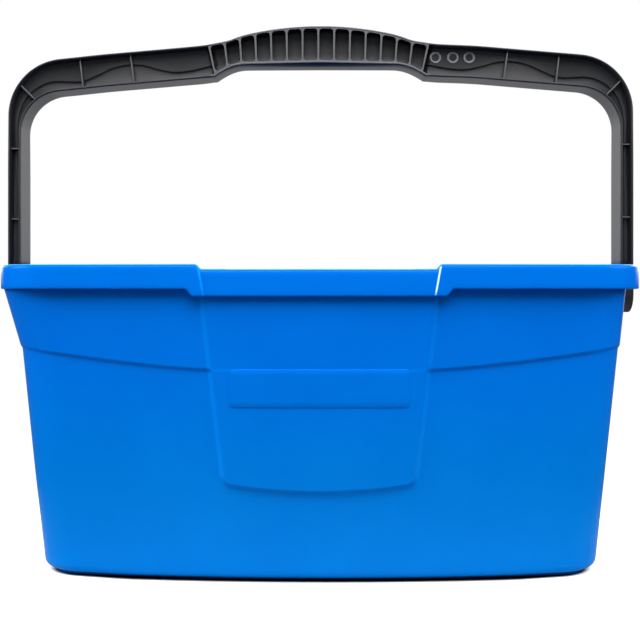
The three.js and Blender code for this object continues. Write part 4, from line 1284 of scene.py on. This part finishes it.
# %% Hubs of the legs
BORE, HEAD_SEAT, SEAT_DEPTH = 5.3, 8.3, 2.8
HUB_EDGE_FOOT, HUB_EDGE_TOP, SMALL_EDGE = 0.9, 0.7, 0.7
HUB_STEPS, HUB_TOP_STEPS, SMALL_EDGE_STEPS, HUB_EDGE_STEPS = 36, 6, 3, 6
SHOULDER = lerp(HUB_TOP, PIVOT_LEVEL, 0.5)


def hub_edge(z):
    return lerp(HUB_EDGE_FOOT, HUB_EDGE_TOP, share(z, PIVOT_LEVEL - HANDLE_HALF, PIVOT_LEVEL + HANDLE_HALF))


def hub_outline(inset):
    points = [(HANDLE_HALF - inset(z), z) for z in (HUB_TOP, SHOULDER)]
    for turn in [-math.pi * step / HUB_STEPS for step in range(HUB_STEPS + 1)]:
        radius = HANDLE_HALF - inset(PIVOT_LEVEL + HANDLE_HALF * math.sin(turn))
        points.append((radius * math.cos(turn), PIVOT_LEVEL + radius * math.sin(turn)))
    points += [(inset(z) - HANDLE_HALF, z) for z in (SHOULDER, HUB_TOP)]
    wide = points[0][0]
    return points + [(lerp(-wide, wide, step / HUB_TOP_STEPS), HUB_TOP) for step in range(1, HUB_TOP_STEPS)]


def hub_circle(radius):
    circle = []
    for y, z in hub_outline(always(0.0)):
        away = Vector((y, z - PIVOT_LEVEL)).normalized() * radius
        circle.append((away.x, PIVOT_LEVEL + away.y))
    return circle


def hub_rings(side):
    rows = [(always(LEG_INNER), hub_circle(BORE))]
    for out, inset in round_steps(SMALL_EDGE_STEPS):
        rows.append((always(LEG_INNER + SMALL_EDGE * out), hub_outline(always(SMALL_EDGE * inset))))
    for inset, back in round_steps(HUB_EDGE_STEPS):
        outline = hub_outline(lambda z, inset=inset: hub_edge(z) * inset)
        rows.append((lambda z, back=back: LEG_OUTER - hub_edge(z) * back, outline))
    seat = always(LEG_OUTER - SEAT_DEPTH)
    rows += [(always(LEG_OUTER), hub_circle(HEAD_SEAT)), (seat, hub_circle(HEAD_SEAT))]
    rows.append((seat, hub_circle(BORE)))
    return [[(side * x_at(z) * MM, y * MM, z * MM) for y, z in outline] for x_at, outline in rows]


for side, label in ((-1, "left"), (1, "right")):
    hub_mesh = skin_mesh(f"hub_{label}", hub_rings(side), False)
    add_piece(f"hub_{label}", hub_mesh, handle_black, "handle")
print("hub points", len(hub_circle(BORE)))

# %% [markdown]
# The handle turns on two studs. The tub has a boss at each end, a thick ring of the same blue plastic, and
# the stud's shank sits in it while its head sits in the leg.

# %% Bosses and pins
BOSS_FACE, BOSS_DEPTH, BOSS_RADIUS = 251.304, 16.0, 11.0
PIN_RADIUS, PIN_HEAD, PIN_FACE, PIN_TIP = 5.0, 8.0, 262.304, 235.604
PIN_BACK = PIN_TIP - PIN_FACE
BOSS_OUTLINE = [(BORE, 0.0), (10.2, 0.0), (10.8, -0.2), (BOSS_RADIUS, -0.8), (BOSS_RADIUS, -15.4),
                (10.4, -BOSS_DEPTH), (BORE, -BOSS_DEPTH)]
PIN_OUTLINE = [(3.4, -0.6), (3.9, -0.5), (4.3, 0.0), (7.2, 0.0), (7.8, -0.2), (PIN_HEAD, -0.7),
               (PIN_HEAD, -2.0), (7.7, -2.4), (PIN_RADIUS, -2.4), (PIN_RADIUS, PIN_BACK + 1.0),
               (4.0, PIN_BACK)]

for side, label in ((-1, "left"), (1, "right")):
    axis = (side, 0.0, 0.0)
    boss_middle, pin_middle = (side * BOSS_FACE, 0.0, PIVOT_LEVEL), (side * PIN_FACE, 0.0, PIVOT_LEVEL)
    boss_mesh = turned_mesh(f"boss_{label}", BOSS_OUTLINE, boss_middle, axis, False)
    add_piece(f"boss_{label}", boss_mesh, tub_blue, "tub")
    pin_mesh = turned_mesh(f"pin_{label}", PIN_OUTLINE, pin_middle, axis, True)
    pin = add_piece(f"pin_{label}", pin_mesh, pin_black, "tub")
    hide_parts(f"pivot_pin_{label}")
print("pins and bosses at level", PIVOT_LEVEL)

# %% [markdown]
# In the middle of each panel is a plain pad, a raised plate with rounded corners and no lettering. It
# follows the panel's bow, so it is lofted from upright sections, one after another along its length.

# %% Plain pads
PAD_HALF, PAD_FOOT, PAD_TOP, PAD_CORNER, PAD_PROUD, PAD_EDGE = 67.5, 134.5, 163.5, 3.0, 0.5, 0.4
PAD_SINK, PAD_BEVEL_IN, PAD_BEVEL_DOWN, PAD_ROWS, PAD_COLUMNS = -1.0, 0.15, 0.12, 6, 12
PAD_END_SHARE, PAD_END_WIDTH = 0.4, 0.5
PAD_END_INSETS = [0.0, 0.15, 0.5, 1.0, 1.6, 2.3, PAD_CORNER]


def panel_face(x, level, out):
    ring = wall_ring(level, 0.0)
    depth = ring["depth"] + PANEL_PROUD + out
    return depth * (1 + WALL_BOW / ring["depth"] * (1 - (x / ring["right"]) ** 2))


def pad_section(x, face):
    corner = max(0.0, abs(x) - (PAD_HALF - PAD_CORNER))
    lift = PAD_CORNER - math.sqrt(max(PAD_CORNER ** 2 - corner ** 2, 0.0))
    low, high = PAD_FOOT + lift, PAD_TOP - lift
    from_end = share(PAD_HALF - abs(x), 0.0, PAD_END_WIDTH)
    proud = PAD_PROUD * lerp(PAD_END_SHARE, 1.0, from_end ** 0.5)
    edge = [(0.0, PAD_SINK), (0.0, proud - PAD_EDGE)]
    edge += [(PAD_BEVEL_IN, proud - PAD_BEVEL_DOWN), (PAD_EDGE, proud)]
    places = [(low + inset, out) for inset, out in edge]
    for step in range(1, PAD_ROWS):
        places.append((lerp(low + PAD_EDGE, high - PAD_EDGE, step / PAD_ROWS), proud))
    places += [(high - inset, out) for inset, out in edge[::-1]]
    return [(x * MM, face * panel_face(x, level, out) * MM, level * MM) for level, out in places]


insets = PAD_END_INSETS + [lerp(PAD_CORNER, PAD_HALF, step / PAD_COLUMNS) for step in range(1, PAD_COLUMNS)]
pad_columns = [PAD_HALF - inset for inset in insets]
pad_places = [-x for x in pad_columns] + [0.0] + pad_columns[::-1]
for face, label in ((-1, "front"), (1, "back")):
    pad_mesh = skin_mesh(f"plain_pad_{label}", [pad_section(x, face) for x in pad_places], True)
    add_piece(f"plain_pad_{label}", pad_mesh, tub_blue, "tub")
print("pads", 2 * PAD_HALF, "by", PAD_TOP - PAD_FOOT, "mm")
